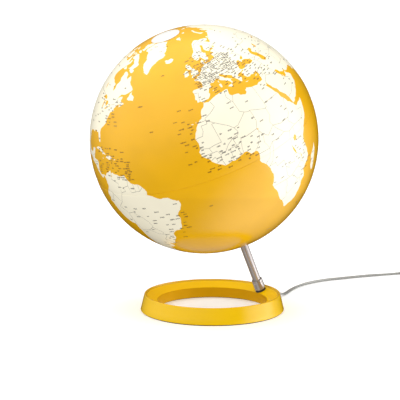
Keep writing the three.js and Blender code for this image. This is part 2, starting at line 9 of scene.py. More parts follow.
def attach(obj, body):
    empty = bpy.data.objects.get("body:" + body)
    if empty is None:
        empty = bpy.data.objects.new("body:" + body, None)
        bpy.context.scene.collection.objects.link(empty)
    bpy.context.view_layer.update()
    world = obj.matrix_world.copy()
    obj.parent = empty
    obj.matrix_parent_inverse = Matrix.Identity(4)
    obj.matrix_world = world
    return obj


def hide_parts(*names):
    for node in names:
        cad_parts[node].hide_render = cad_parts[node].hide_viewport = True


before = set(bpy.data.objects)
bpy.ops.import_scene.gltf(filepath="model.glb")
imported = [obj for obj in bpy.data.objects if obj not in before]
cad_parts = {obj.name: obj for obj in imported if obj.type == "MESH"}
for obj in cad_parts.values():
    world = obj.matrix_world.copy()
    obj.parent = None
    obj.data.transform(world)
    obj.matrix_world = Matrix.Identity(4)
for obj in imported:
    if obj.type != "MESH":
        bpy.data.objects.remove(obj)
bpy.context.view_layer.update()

MM = 0.001
UP = Vector((0, 0, 1))


def heading(degrees):
    """A level direction, its angle counted from +X towards +Y."""
    return Vector((math.cos(math.radians(degrees)), math.sin(math.radians(degrees)), 0))


def ramp(value):
    return min(1.0, max(0.0, value))


# ---------------------------------------------------------------- sizes, in metres

GLOBE_RADIUS = 0.150
GLOBE_CENTRE = Vector((0, 0, 0.23065))
TILT = math.radians(23.44)
SHELL_WALL = 0.0022
SEAM_GAP = 0.00004              # each half stops this far from the equator
NORTH_OPENING = 0.0043
SOUTH_OPENING = 0.030
MAP_TURN = 105.7                # longitude that faces away from the tube's foot

RING_CENTRE = 0.0133            # along +X
RING_OUTER, RING_RIM, RING_INNER = 0.0959, 0.0907, 0.073
RING_HEIGHT, RING_RIDGE, RING_FOOT = 0.0227, 0.0142, 0.0012
SEAT = -0.2329                  # tube's foot, on the tilted axis from the globe's centre
TUBE_TOP = -0.094
TUBE_RADIUS = 0.0055

CORD_WIDTH, CORD_THICKNESS = 0.005, 0.0028
COIL_CENTRE = Vector((0.3909, -0.0037, 0))
COIL_OUTER_TURN, COIL_INNER_TURN = 0.0325, 0.0205
COIL_LOW, COIL_HIGH = 0.0028, 0.0082
COIL_STEPS = 24                 # points of the route in each turn
TIE_PLACE = 205                 # degrees round the coil
LEAD_ROLL = 32.0                # degrees by which the flat cord leans on its edge along the table
SWITCH_LENGTH = 0.058
SWITCH_START = 0.042            # from the point where the cord leaves the coil
SWITCH_WIDTH, SWITCH_HEIGHT = 0.024, 0.014
CORD_ENTRY = 0.006              # cord's height where it enters the switch
PLUG_TURN = 0.046               # radius of the bend between switch and plug
COIL_LEAVES, PLUG_HEADING = -120.0, -170.0
RELIEF_TIP = Vector((0.1272, 0.0114, 0.0063))
RELIEF_PLACE, RELIEF_HEADING = 5, 9     # degrees: where the cord leaves the ring, and which way
RELIEF_FLATTEN = 0.68

# The cord's centreline from the strain relief to the coil, in millimetres.
LEAD_ROUTE = [
    (127.45, 11.4, 6.3), (133.5, 12.3, 4.9), (139.5, 14.5, 3.0), (146.0, 18.0, 1.8), (153.3, 23.2, 1.6),
    (163.5, 30.6, 1.6), (174.0, 37.7, 1.6), (188.5, 45.9, 1.6), (204.3, 52.5, 1.6), (216.0, 55.8, 1.6),
    (227.9, 57.8, 1.6), (238.0, 58.7, 1.6), (248.5, 58.9, 1.6), (260.0, 57.9, 1.6), (271.5, 56.0, 1.6),
    (289.0, 53.4, 1.6), (306.0, 50.7, 1.6), (322.0, 47.6, 1.6), (337.4, 44.2, 1.6), (353.0, 40.6, 1.6),
    (369.0, 36.9, 1.9), (377.0, 34.9, 2.4), (384.6, 32.8, 2.8),
]
# The straight run from the coil through the switch: how far along, its height, and the flat cord's roll in degrees.
TAIL_ROUTE = [(9, 8.1, 88), (19, 7.6, 62), (28, 6.9, 30), (36, 6.2, 8), (42, 6.0, 0), (56, 6.0, 0), (71, 6.0, 0),
              (86, 6.0, 0), (100, 6.0, 0)]
PLUG_HEIGHTS = (5.0, 3.6, 3.0, 3.8, 5.4, 6.7)   # round the last bend: down to the table and up again to the plug

# Frames: on the globe's centre with Z along the axis of spin, under the ring's middle, and at the switch and the
# plug with X along the cord.
AXIS_FRAME = Matrix.Translation(GLOBE_CENTRE) @ Matrix.Rotation(-TILT, 4, "Y")
RING_FRAME = Matrix.Translation((RING_CENTRE, 0, 0))

COIL_EXIT = COIL_CENTRE + COIL_OUTER_TURN * heading(COIL_LEAVES + 90)
SWITCH_FRAME = (Matrix.Translation(COIL_EXIT + (SWITCH_START + SWITCH_LENGTH / 2) * heading(COIL_LEAVES))
                @ Matrix.Rotation(math.radians(COIL_LEAVES), 4, "Z"))
PLUG_FRAME = (Matrix.Translation(COIL_EXIT + (SWITCH_START + SWITCH_LENGTH) * heading(COIL_LEAVES)
                                 + PLUG_TURN * heading(COIL_LEAVES - 90) + PLUG_TURN * heading(PLUG_HEADING + 90))
              @ Matrix.Rotation(math.radians(PLUG_HEADING), 4, "Z"))
VIEW = Vector((0.5442, 0.8225, -0.1654)).normalized()   # the way the camera looks


# ---------------------------------------------------------------- camera

def add_camera():
    """The viewpoint: a little above the globe's middle, on the side of the Atlantic."""
    lens = bpy.data.cameras.new("camera")
    lens.lens, lens.sensor_width = 158.58, 36
    camera = bpy.data.objects.new("camera", lens)
    camera.location = (-1.2695, -1.9091, 0.53424)
    camera.rotation_euler = VIEW.to_track_quat("-Z", "Y").to_euler()
    bpy.context.scene.collection.objects.link(camera)
    bpy.context.scene.camera = camera


# ---------------------------------------------------------------- materials

class Value:
    """A socket of a material, with Python's own arithmetic."""

    def __init__(self, finish, socket):
        self.finish, self.socket = finish, socket

    def sum_of(self, operation, first, second):
        return self.finish.node("ShaderNodeMath", {"operation": operation}, {0: first, 1: second})

    def __add__(self, other):
        return self.sum_of("ADD", self, other)

    def __sub__(self, other):
        return self.sum_of("SUBTRACT", self, other)

    def __rsub__(self, other):
        return self.sum_of("SUBTRACT", other, self)

    def __mul__(self, other):
        return self.sum_of("MULTIPLY", self, other)

    __radd__, __rmul__ = __add__, __mul__

    def between(self, low, high):
        """0 at low, 1 at high, and a smooth step from one to the other."""
        return self.finish.node("ShaderNodeMapRange", {"interpolation_type": "SMOOTHSTEP"},
                                {"Value": self, "From Min": low, "From Max": high})


class Finish:
    """One material and the nodes behind its surface."""

    def __init__(self, name, colour, roughness, **constants):
        self.material = bpy.data.materials.new(name)
        self.material.use_nodes = True
        self.tree = self.material.node_tree
        self.surface = self.tree.nodes["Principled BSDF"]
        self.set("Base Color", (*colour, 1))
        self.set("Roughness", roughness)
        for socket, value in constants.items():
            self.set(socket.replace("_", " "), value)

    def set(self, socket, value):
        self.join(value, self.surface.inputs[socket])

    def join(self, value, target):
        if isinstance(value, Value):
            self.tree.links.new(value.socket, target)
        else:
            target.default_value = value

    def node(self, kind, settings=None, sockets=None, out=0):
        made = self.tree.nodes.new(kind)
        for key, value in (settings or {}).items():
            setattr(made, key, value)
        for key, value in (sockets or {}).items():
            self.join(value, made.inputs[key])
        return Value(self, made.outputs[out])

    def place(self, stretch=(1, 1, 1), turn=(0, 0, 0)):
        """Object coordinates, turned about the origin and then scaled."""
        spot = self.node("ShaderNodeTexCoord", out="Object")
        turned_spot = self.node("ShaderNodeMapping", {}, {"Vector": spot, "Rotation": turn})
        return self.node("ShaderNodeMapping", {}, {"Vector": turned_spot, "Scale": stretch})

    def grain(self, scale, detail=3.0, spot=None):
        return self.node("ShaderNodeTexNoise", {}, {
            "Vector": spot or self.place(), "Scale": scale, "Detail": detail, "Roughness": 0.5})

    def cells(self, scale):
        return self.node("ShaderNodeTexVoronoi", {"feature": "F1"}, {"Vector": self.place(), "Scale": scale},
                         "Distance")

    def blend(self, share, first, second):
        """The first colour where share is 0, the second where it is 1."""
        mix = self.tree.nodes.new("ShaderNodeMix")
        mix.data_type = "RGBA"
        for socket, value in ((0, share), (6, first), (7, second)):
            if isinstance(value, tuple):
                value = (*value, 1)
            self.join(value, mix.inputs[socket])
        return Value(self, mix.outputs[2])

    def bump(self, height, strength, depth):
        self.set("Normal", self.node("ShaderNodeBump", {}, {
            "Height": height, "Strength": strength, "Distance": depth}))


def shade(colour, factor):
    return tuple(min(1.0, part * factor) for part in colour)


def lacquer(name, colour, roughness, warm, mottle=22, **constants):
    """Glossy printed or painted plastic: slow mottling, dust in the gloss and a fine orange peel."""
    made = Finish(name, colour, roughness, **constants)
    slow, fine, dust = made.grain(mottle, 2), made.grain(900, 2), made.cells(420)
    tone = made.blend(slow.between(0.35, 0.68), colour, shade(colour, warm))
    made.set("Base Color", made.blend(fine * 0.10, tone, shade(colour, 0.86)))
    made.set("Roughness", roughness + slow * 0.05 + (1 - dust.between(0.0, 0.08)) * 0.10)
    made.bump(made.grain(240, 1) + fine * 0.2, 0.05, 0.0002)
    return made


def moulded(name, colour, roughness, grain=0.25, **constants):
    """Moulded plastic with a fine spark grain, and duller, darker pits."""
    made = Finish(name, colour, roughness, **constants)
    spark, slow = made.cells(1600), made.grain(60, 3)
    made.set("Base Color", made.blend(slow.between(0.3, 0.75), colour, shade(colour, 0.88)))
    made.set("Roughness", roughness + slow * 0.12 - spark * 0.05)
    made.bump(spark + slow * 0.4, grain, 0.0001)
    return made


def metal(name, colour, roughness, stretch, tarnish_and_painted_reflection, metallic=1.0):
    """Metal with its tool marks drawn out along stretch, in streaks of brighter and duller colour; on the chrome
    these streaks and their pink tone are partly painted reflection bands.
    """
    made = Finish(name, colour, roughness, Metallic=metallic)
    lie = made.place(stretch, (0, TILT, 0))
    lines, streaks, smudge = made.grain(900, 3, lie), made.grain(330, 2, lie), made.grain(70, 4)
    warmed = tuple(part * tarnish_and_painted_reflection * warmth for part, warmth in zip(colour, (1.06, 0.96, 0.95)))
    dull = made.blend(smudge, shade(colour, tarnish_and_painted_reflection), warmed)
    made.set("Base Color", made.blend(streaks.between(0.42, 0.60), dull, colour))
    made.set("Roughness", roughness + lines * 0.05 + smudge.between(0.5, 0.75) * 0.04)
    made.bump(lines, 0.03, 0.00005)
    return made


# ---------------------------------------------------------------- modelling tools

def clear_selection():
    if bpy.context.mode != "OBJECT":
        bpy.ops.object.mode_set(mode="OBJECT")
    bpy.ops.object.select_all(action="DESELECT")


def activate(piece):
    clear_selection()
    piece.select_set(True)
    bpy.context.view_layer.objects.active = piece


def modify(piece, kind, **settings):
    """Adds a modifier with these settings and applies it."""
    activate(piece)
    change = piece.modifiers.new(kind.title(), kind)
    for key, value in settings.items():
        setattr(change, key, value)
    bpy.ops.object.modifier_apply(modifier=change.name)


def named(name):
    piece = bpy.context.object
    piece.name = piece.data.name = name
    return piece


def settled(piece, frame_of_piece, finish, body, stands_for=(), smooth=35):
    """Moves the piece's own mesh into place, and gives the piece its finish, body, slot and CAD nodes."""
    activate(piece)
    piece.matrix_world = frame_of_piece @ piece.matrix_world
    bpy.ops.object.transform_apply(location=True, rotation=True, scale=True)
    bpy.ops.object.shade_smooth_by_angle(angle=math.radians(smooth))
    piece.data.materials.clear()
    piece.data.materials.append(FINISHES[finish])
    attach(piece, body)
    if stands_for:
        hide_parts(*stands_for)
    return piece


def turned(name, outline, sides=96, ring=True):
    """A lathe-turned piece about its own Z: a circle drawn out ring by ring along the outline."""
    clear_selection()
    radius, height = outline[0]
    bpy.ops.mesh.primitive_circle_add(vertices=sides, radius=radius, location=(0, 0, height))
    piece = named(name)
    bpy.ops.object.transform_apply(location=True, rotation=False, scale=False)
    bpy.ops.object.mode_set(mode="EDIT")
    bpy.ops.mesh.select_all(action="SELECT")
    for next_radius, next_height in outline[1:]:
        bpy.ops.mesh.extrude_region_move(TRANSFORM_OT_translate={"value": (0, 0, next_height - height)})
        grow = next_radius / radius
        bpy.ops.transform.resize(value=(grow, grow, 1), center_override=(0, 0, next_height))
        radius, height = next_radius, next_height
    bpy.ops.mesh.select_all(action="DESELECT")
    bpy.ops.mesh.select_non_manifold()
    if ring:
        bpy.ops.mesh.bridge_edge_loops()
    else:
        bpy.ops.mesh.select_all(action="SELECT")
        bpy.ops.mesh.fill_holes(sides=0)
    bpy.ops.mesh.select_all(action="SELECT")
    bpy.ops.mesh.normals_make_consistent(inside=False)
    bpy.ops.object.mode_set(mode="OBJECT")
    return piece


def arc(centre, radius, start, end, count):
    """Outline points round a centre (radius, height), from one angle to the other in degrees."""
    return [(centre[0] + radius * math.cos(math.radians(start + (end - start) * k / count)),
             centre[1] + radius * math.sin(math.radians(start + (end - start) * k / count)))
            for k in range(count + 1)]


def swept(name, path, section_at, closed=False):
    """A tube through path; section_at(k) gives the section's corners in space at point k."""
    rings = [section_at(k) for k in range(len(path))]
    sides = len(rings[0])
    corners = [corner for ring in rings for corner in ring]
    spans = len(rings) if closed else len(rings) - 1
    faces = [(k * sides + i, k * sides + (i + 1) % sides,
              (k + 1) % len(rings) * sides + (i + 1) % sides, (k + 1) % len(rings) * sides + i)
             for k in range(spans) for i in range(sides)]
    if not closed:
        faces += [tuple(range(sides))[::-1], tuple(range(len(corners) - sides, len(corners)))]
    mesh = bpy.data.meshes.new(name)
    mesh.from_pydata(corners, [], faces)
    piece = bpy.data.objects.new(name, mesh)
    bpy.context.scene.collection.objects.link(piece)
    return piece


# ---------------------------------------------------------------- the map

# Coasts as longitude, latitude, longitude, latitude and so on, in degrees.
LANDS = {
    "eurasia": [
        -5.6, 36.0, -6.3, 36.6, -7.4, 37.2, -8.9, 37.0, -8.8, 38.4, -9.5, 38.7, -8.9, 40.2, -8.8, 42.0,
        -9.2, 43.1, -8.0, 43.7, -5.8, 43.6, -3.8, 43.5, -1.8, 43.4, -1.2, 44.7, -1.1, 46.0, -2.2, 47.2,
        -4.4, 47.9, -4.7, 48.5, -2.8, 48.8, -1.6, 48.7, -1.9, 49.7, 0.2, 49.6, 1.5, 50.3, 1.7, 50.9,
        3.4, 51.5, 4.4, 52.3, 4.8, 53.0, 6.9, 53.5, 8.2, 53.6, 8.8, 54.0, 8.5, 55.2, 8.1, 56.6, 9.5, 57.2,
        10.6, 57.7, 10.3, 56.8, 10.9, 56.3, 9.9, 55.3, 10.0, 54.5, 10.9, 54.1, 12.4, 54.3, 14.2, 53.9,
        16.5, 54.5, 18.5, 54.8, 19.8, 54.4, 21.1, 55.5, 21.1, 57.0, 22.6, 57.7, 24.0, 57.1, 24.4, 58.3,
        23.5, 59.2, 26.0, 59.6, 28.2, 59.6, 30.0, 59.9, 28.0, 60.6, 25.0, 60.1, 22.9, 59.9, 21.4, 61.0,
        21.4, 62.6, 23.2, 63.8, 25.3, 65.0, 24.3, 65.8, 22.3, 65.8, 21.4, 64.6, 19.0, 63.3, 17.3, 61.7,
        17.3, 60.6, 18.8, 59.8, 17.0, 58.6, 16.5, 57.0, 15.8, 56.1, 14.3, 55.5, 12.9, 55.5, 12.6, 56.3,
        11.9, 57.6, 11.2, 59.0, 10.5, 59.4, 9.6, 58.9, 7.9, 58.1, 6.2, 58.3, 5.2, 59.4, 5.0, 61.0,
        5.5, 62.2, 8.0, 63.3, 10.2, 64.1, 12.5, 65.9, 14.4, 67.4, 16.3, 68.4, 19.0, 69.8, 22.0, 70.4,
        25.7, 71.1, 28.5, 71.0, 31.0, 70.3, 30.0, 69.8, 33.0, 69.4, 36.5, 69.1, 40.8, 67.8, 41.0, 66.7,
        38.0, 66.1, 34.2, 66.6, 32.8, 67.1, 34.8, 65.2, 34.9, 64.4, 37.0, 63.9, 38.0, 64.8, 40.4, 64.6,
        40.0, 65.6, 42.2, 66.4, 44.1, 66.2, 44.2, 68.3, 46.5, 67.8, 46.0, 66.8, 48.0, 67.6, 53.5, 68.3,
        59.0, 69.0, 60.9, 68.9, 60.2, 69.9, 64.9, 69.3, 67.0, 68.9, 68.2, 69.7, 66.8, 70.7, 68.3, 71.8,
        69.7, 72.9, 72.6, 72.8, 72.0, 71.2, 72.8, 69.5, 73.7, 68.5, 71.5, 66.4, 72.4, 66.3, 74.5, 67.8,
        74.0, 71.3, 77.0, 72.2, 80.6, 72.9, 80.7, 73.6, 86.5, 73.9, 87.5, 75.0, 95.0, 76.1, 100.5, 76.4,
        104.3, 77.7, 108.0, 76.7, 113.5, 75.7, 112.0, 74.7, 107.0, 73.2, 113.5, 73.6, 118.5, 73.1,
        123.3, 73.5, 127.0, 73.4, 129.0, 71.8, 132.8, 71.5, 137.5, 71.4, 140.3, 72.5, 149.5, 72.1,
        152.5, 70.9, 160.8, 69.6, 168.0, 70.0, 170.5, 69.0, 176.0, 69.8, 180.0, 68.9, 185.0, 66.8,
        190.2, 66.0, 187.5, 64.4, 181.0, 65.5, 177.5, 64.7, 179.3, 62.5, 173.7, 61.7, 170.3, 60.0,
        163.3, 59.6, 163.0, 57.8, 162.1, 56.1, 162.0, 54.8, 159.9, 53.2, 158.2, 52.0, 156.7, 51.0,
        155.6, 53.5, 155.6, 56.7, 159.8, 59.8, 163.8, 61.9, 164.5, 62.5, 160.2, 61.8, 157.0, 61.6,
        154.3, 59.6, 151.3, 59.0, 145.5, 59.3, 142.2, 59.0, 138.0, 56.5, 135.2, 54.7, 137.6, 53.8,
        141.3, 53.0, 140.5, 50.0, 140.3, 48.0, 136.0, 44.7, 133.0, 42.8, 130.8, 42.3, 129.7, 41.3,
        127.5, 39.8, 128.4, 38.4, 129.4, 37.0, 129.4, 35.6, 127.5, 34.6, 126.3, 34.6, 126.6, 36.8,
        125.0, 38.0, 125.2, 39.3, 122.2, 39.4, 121.3, 39.0, 121.8, 40.8, 119.0, 39.2, 117.7, 38.8,
        119.0, 37.3, 122.5, 37.2, 120.0, 35.6, 119.3, 34.9, 120.8, 33.0, 121.8, 31.3, 122.0, 29.8,
        121.0, 28.0, 119.5, 25.6, 117.5, 23.7, 114.5, 22.5, 111.5, 21.5, 110.5, 21.2, 109.9, 20.4,
        109.7, 21.5, 108.2, 21.6, 106.7, 20.3, 105.8, 19.0, 107.5, 16.8, 109.0, 15.0, 109.3, 12.5,
        108.0, 10.9, 106.7, 10.3, 105.0, 8.7, 104.9, 10.1, 103.2, 10.8, 102.3, 12.2, 101.0, 12.8,
        100.5, 13.5, 100.0, 12.8, 99.2, 10.8, 99.8, 9.2, 100.6, 7.2, 102.2, 6.2, 103.4, 4.5, 103.5, 2.7,
        104.2, 1.4, 103.4, 1.4, 101.3, 2.9, 100.4, 5.4, 98.3, 8.1, 98.6, 10.5, 98.6, 13.0, 97.7, 15.5,
        97.2, 16.9, 95.4, 15.8, 94.3, 16.0, 94.4, 18.2, 92.2, 20.9, 91.7, 22.6, 90.3, 22.2, 88.9, 21.8,
        87.0, 21.5, 86.4, 20.1, 85.0, 19.4, 82.3, 16.7, 80.3, 15.7, 80.2, 13.4, 79.8, 11.5, 79.9, 10.3,
        78.1, 8.7, 77.5, 8.1, 76.3, 9.9, 75.2, 12.0, 74.4, 14.6, 73.2, 16.9, 72.8, 19.2, 72.7, 21.2,
        71.0, 20.8, 69.0, 22.3, 70.2, 22.9, 68.5, 23.6, 67.3, 24.8, 66.5, 25.4, 61.6, 25.2, 57.3, 25.8,
        56.9, 27.1, 54.7, 26.5, 51.5, 27.9, 50.2, 30.0, 48.8, 30.4, 48.0, 29.9, 48.5, 28.3, 50.1, 26.7,
        50.2, 25.6, 50.8, 24.8, 51.2, 26.1, 51.6, 25.0, 51.5, 24.2, 54.2, 24.3, 56.1, 26.1, 56.4, 24.9,
        58.6, 23.6, 59.8, 22.5, 58.5, 20.4, 57.8, 18.9, 55.3, 17.5, 52.2, 15.7, 48.5, 14.0, 45.0, 12.8,
        43.4, 12.7, 42.8, 15.0, 42.6, 16.6, 40.8, 19.6, 39.1, 21.5, 38.5, 23.7, 37.2, 24.9, 35.6, 27.5,
        34.9, 29.5, 34.3, 28.0, 33.2, 28.6, 32.6, 29.9, 32.3, 31.2, 34.2, 31.3, 35.0, 32.8, 35.9, 34.6,
        35.8, 36.2, 36.1, 36.8, 34.5, 36.7, 32.8, 36.1, 30.6, 36.8, 29.2, 36.3, 27.4, 36.8, 26.4, 38.3,
        26.9, 39.2, 26.2, 40.1, 27.5, 40.4, 29.2, 40.7, 28.9, 41.1, 27.5, 40.9, 26.1, 40.7, 24.4, 40.9,
        23.8, 40.1, 22.8, 40.4, 22.7, 39.5, 24.0, 38.2, 23.1, 37.3, 22.5, 36.5, 21.7, 36.9, 21.2, 38.0,
        20.2, 39.4, 19.4, 40.6, 19.5, 41.8, 18.0, 42.8, 15.8, 43.7, 14.4, 45.0, 13.7, 45.0, 13.6, 45.7,
        12.4, 45.3, 12.3, 44.5, 13.6, 43.5, 14.7, 42.1, 16.0, 41.8, 16.2, 41.3, 18.4, 40.2, 17.0, 40.5,
        16.6, 39.7, 17.1, 39.0, 16.0, 37.9, 15.7, 38.2, 16.1, 39.0, 15.3, 40.1, 14.0, 40.9, 12.3, 41.8,
        11.0, 42.5, 10.3, 43.9, 8.9, 44.4, 7.5, 43.8, 6.0, 43.1, 4.0, 43.5, 3.1, 43.1, 3.2, 41.9,
        1.0, 41.0, -0.3, 39.5, 0.2, 38.7, -0.7, 37.7, -2.1, 36.8, -4.4, 36.7],
    "africa": [
        -5.9, 35.8, -2.9, 35.3, -1.2, 35.8, 2.9, 36.9, 7.0, 37.0, 9.8, 37.3, 11.0, 37.0, 10.5, 35.8,
        10.1, 34.3, 11.2, 33.2, 13.2, 32.9, 15.3, 32.3, 15.8, 31.3, 18.5, 30.3, 20.0, 31.0, 20.1, 32.3,
        21.6, 32.9, 23.2, 32.3, 25.1, 31.6, 28.9, 30.9, 30.9, 31.5, 32.5, 31.2, 32.8, 29.9, 33.6, 27.8,
        35.4, 24.3, 36.9, 22.0, 37.2, 19.6, 38.6, 18.0, 39.8, 15.4, 41.2, 14.5, 42.8, 12.9, 43.3, 11.6,
        44.6, 10.5, 47.0, 11.2, 51.2, 11.9, 51.0, 10.4, 49.7, 7.8, 47.8, 4.2, 44.5, 1.7, 42.0, -0.9,
        40.2, -2.6, 39.3, -4.8, 38.8, -6.3, 39.5, -7.5, 39.6, -9.3, 40.5, -10.7, 40.7, -14.6, 39.0, -16.9,
        36.8, -18.0, 34.9, -19.9, 35.5, -22.2, 35.4, -24.0, 32.8, -25.6, 32.6, -27.5, 31.0, -29.9,
        28.5, -32.7, 25.7, -34.0, 22.2, -34.1, 20.0, -34.8, 18.4, -34.2, 18.2, -32.0, 17.2, -29.7,
        15.2, -26.7, 14.5, -22.9, 12.5, -18.7, 11.8, -16.2, 13.4, -12.8, 13.7, -10.7, 13.0, -8.8,
        12.2, -6.0, 11.8, -4.8, 9.6, -2.4, 8.8, -0.7, 9.5, 0.8, 9.8, 2.8, 9.4, 4.0, 8.5, 4.7, 7.1, 4.4,
        5.9, 4.3, 4.4, 6.3, 2.7, 6.4, 1.0, 5.9, -2.1, 4.8, -4.0, 5.2, -7.6, 4.4, -9.2, 5.5, -11.4, 6.8,
        -13.2, 8.5, -13.7, 9.8, -15.0, 10.9, -16.7, 12.3, -17.4, 14.7, -16.5, 16.0, -16.2, 18.8,
        -17.0, 21.0, -16.0, 23.7, -14.4, 26.2, -12.9, 27.9, -10.2, 29.4, -9.7, 31.4, -8.5, 33.3, -6.8, 34.2],
    "north_america": [
        -168.1, 65.6, -164.0, 66.5, -162.0, 66.6, -166.5, 68.3, -163.0, 69.8, -156.6, 71.3, -151.0, 70.5,
        -141.0, 69.7, -136.0, 69.0, -129.0, 70.0, -127.5, 70.5, -124.5, 69.4, -115.0, 68.5, -114.0, 67.8,
        -108.5, 67.6, -108.0, 68.6, -103.0, 67.8, -98.0, 67.7, -96.0, 68.3, -95.5, 70.5, -94.5, 72.0,
        -92.5, 70.5, -91.0, 69.3, -88.0, 67.8, -86.0, 67.5, -85.5, 69.5, -82.0, 69.5, -81.5, 67.5,
        -84.5, 66.3, -87.0, 65.2, -88.0, 64.0, -91.5, 63.3, -94.5, 60.5, -94.8, 58.8, -92.5, 57.1,
        -88.5, 56.5, -85.0, 55.3, -82.3, 55.0, -82.0, 53.0, -80.0, 51.3, -78.8, 52.5, -79.5, 54.8,
        -76.6, 57.0, -78.5, 58.8, -77.5, 60.5, -78.0, 62.4, -74.0, 62.3, -70.0, 61.1, -69.5, 59.2,
        -67.5, 58.3, -65.5, 59.6, -64.6, 60.3, -62.0, 57.8, -60.0, 55.3, -57.0, 53.8, -55.8, 52.4,
        -58.6, 51.2, -62.0, 50.2, -66.4, 50.2, -68.6, 49.0, -70.5, 47.2, -67.5, 48.8, -64.6, 49.1,
        -64.4, 48.2, -65.2, 47.1, -64.5, 46.2, -61.2, 45.4, -63.7, 44.4, -65.8, 43.6, -66.0, 44.6,
        -64.8, 45.4, -67.1, 44.9, -69.0, 44.0, -70.6, 43.0, -70.7, 42.1, -70.0, 41.7, -71.8, 41.3,
        -73.9, 40.7, -74.3, 39.5, -75.1, 38.5, -76.0, 37.0, -75.7, 35.4, -77.5, 34.2, -79.3, 33.1,
        -81.1, 31.8, -81.3, 30.0, -80.6, 28.3, -80.1, 26.5, -80.5, 25.3, -81.7, 25.9, -82.7, 27.8,
        -83.9, 30.0, -85.3, 29.7, -88.0, 30.4, -89.5, 30.1, -89.3, 29.1, -91.3, 29.4, -94.0, 29.6,
        -95.5, 28.8, -97.3, 27.3, -97.3, 25.5, -97.8, 22.5, -96.5, 19.5, -94.8, 18.4, -92.5, 18.5,
        -90.7, 19.5, -90.3, 21.0, -87.0, 21.5, -87.5, 19.8, -88.2, 18.0, -88.8, 15.9, -86.0, 15.9,
        -83.2, 15.0, -83.6, 12.5, -83.7, 10.9, -82.2, 9.1, -80.0, 9.2, -79.0, 9.6, -77.2, 8.8, -77.6, 7.0,
        -78.4, 8.4, -79.6, 8.9, -80.3, 7.5, -81.7, 7.6, -83.0, 8.3, -84.6, 9.6, -85.8, 10.4, -87.6, 12.9,
        -91.5, 14.0, -94.5, 16.2, -97.0, 15.9, -101.0, 17.5, -105.5, 20.0, -105.4, 21.8, -108.5, 25.1,
        -111.0, 27.9, -113.0, 31.2, -114.8, 31.7, -113.0, 28.5, -111.0, 25.5, -109.5, 23.1, -112.1, 24.9,
        -115.0, 27.8, -115.8, 30.3, -117.1, 32.5, -118.5, 34.0, -120.6, 34.6, -122.5, 37.6, -124.3, 40.4,
        -124.1, 43.5, -124.0, 46.3, -124.7, 48.3, -122.5, 47.6, -123.0, 49.1, -127.5, 51.0, -130.3, 54.5,
        -133.5, 57.0, -136.5, 58.4, -139.8, 59.6, -145.0, 60.3, -148.5, 60.0, -151.8, 59.2, -151.0, 61.2,
        -153.8, 59.3, -158.0, 56.5, -163.0, 54.8, -160.5, 56.0, -157.5, 58.7, -162.0, 58.7, -165.5, 61.3,
        -164.8, 63.1, -161.0, 63.8, -161.0, 64.6, -166.0, 64.5],
    "south_america": [
        -77.4, 8.6, -75.5, 10.7, -74.0, 11.2, -71.7, 12.4, -71.3, 11.0, -70.2, 11.6, -68.3, 10.8,
        -64.8, 10.1, -62.0, 10.6, -60.0, 8.5, -57.5, 6.3, -54.0, 5.8, -51.7, 4.2, -50.0, 1.8, -50.5, 0.0,
        -48.0, -0.8, -44.5, -2.8, -40.0, -2.9, -37.0, -4.8, -35.2, -5.4, -34.8, -7.5, -37.2, -11.2,
        -38.9, -13.2, -39.1, -17.5, -40.9, -21.8, -42.0, -22.9, -44.7, -23.2, -48.5, -25.9, -48.7, -28.4,
        -50.5, -30.5, -53.5, -34.0, -56.0, -34.9, -58.4, -34.2, -57.2, -36.3, -57.8, -38.2, -62.2, -38.8,
        -62.3, -40.6, -65.1, -41.0, -63.7, -42.6, -65.3, -44.7, -67.5, -46.2, -65.8, -47.9, -69.0, -50.5,
        -68.4, -52.4, -65.2, -54.7, -68.5, -55.5, -72.5, -54.0, -74.7, -51.5, -75.6, -48.0, -74.3, -44.5,
        -73.8, -41.8, -73.3, -38.0, -71.6, -33.0, -71.4, -29.0, -70.3, -24.0, -70.3, -18.3, -76.0, -14.5,
        -77.2, -12.0, -79.6, -7.6, -81.3, -5.0, -80.2, -3.2, -80.9, -1.2, -79.9, 0.8, -78.8, 1.6,
        -77.2, 3.8, -77.5, 6.5, -77.9, 7.2],
    "greenland": [
        -44.0, 60.0, -42.5, 61.5, -40.5, 64.5, -37.5, 65.8, -32.0, 68.0, -26.0, 68.7, -22.5, 70.2,
        -24.0, 71.8, -20.5, 73.5, -19.0, 75.5, -18.5, 77.0, -20.0, 79.0, -15.0, 81.0, -12.5, 81.6,
        -22.0, 82.2, -32.0, 83.5, -42.0, 83.0, -60.0, 82.0, -66.0, 80.5, -68.0, 79.0, -72.5, 78.3,
        -69.5, 76.3, -61.0, 75.9, -57.0, 74.5, -54.5, 71.5, -51.5, 70.0, -53.5, 67.5, -51.5, 64.5,
        -48.5, 61.5, -46.0, 60.6],
    "australia": [
        114.1, -21.8, 116.8, -20.6, 119.0, -20.0, 122.2, -18.0, 123.6, -17.0, 124.5, -15.5, 126.8, -14.0,
        129.5, -14.9, 130.8, -12.4, 132.7, -11.4, 136.7, -12.1, 135.9, -14.8, 139.3, -17.5, 140.9, -17.0,
        141.6, -13.5, 142.5, -10.8, 143.6, -14.3, 145.3, -15.3, 146.3, -18.9, 149.0, -20.5, 151.0, -23.5,
        153.1, -25.3, 153.5, -28.5, 152.5, -32.3, 150.9, -34.6, 150.0, -37.3, 146.4, -39.0, 144.0, -38.4,
        140.6, -38.0, 138.5, -35.6, 137.8, -33.0, 135.9, -34.8, 134.0, -32.8, 131.2, -31.5, 126.0, -32.3,
        123.7, -33.9, 120.0, -33.9, 117.8, -35.1, 115.1, -34.3, 115.7, -31.7, 114.2, -28.0, 113.4, -25.0],
    "antarctica": [
        -180, -78.2, -165, -78.4, -158, -77.3, -147, -76.0, -135, -74.7, -120, -74, -110, -74.5, -100, -73,
        -90, -73, -80, -73, -72, -71, -68, -67.5, -61, -64, -57, -63.3, -59, -65, -62, -68, -62, -74,
        -75, -78, -60, -79.5, -45, -78, -35, -78, -27, -76, -20, -73.5, -11, -71.5, 0, -70, 15, -69.5,
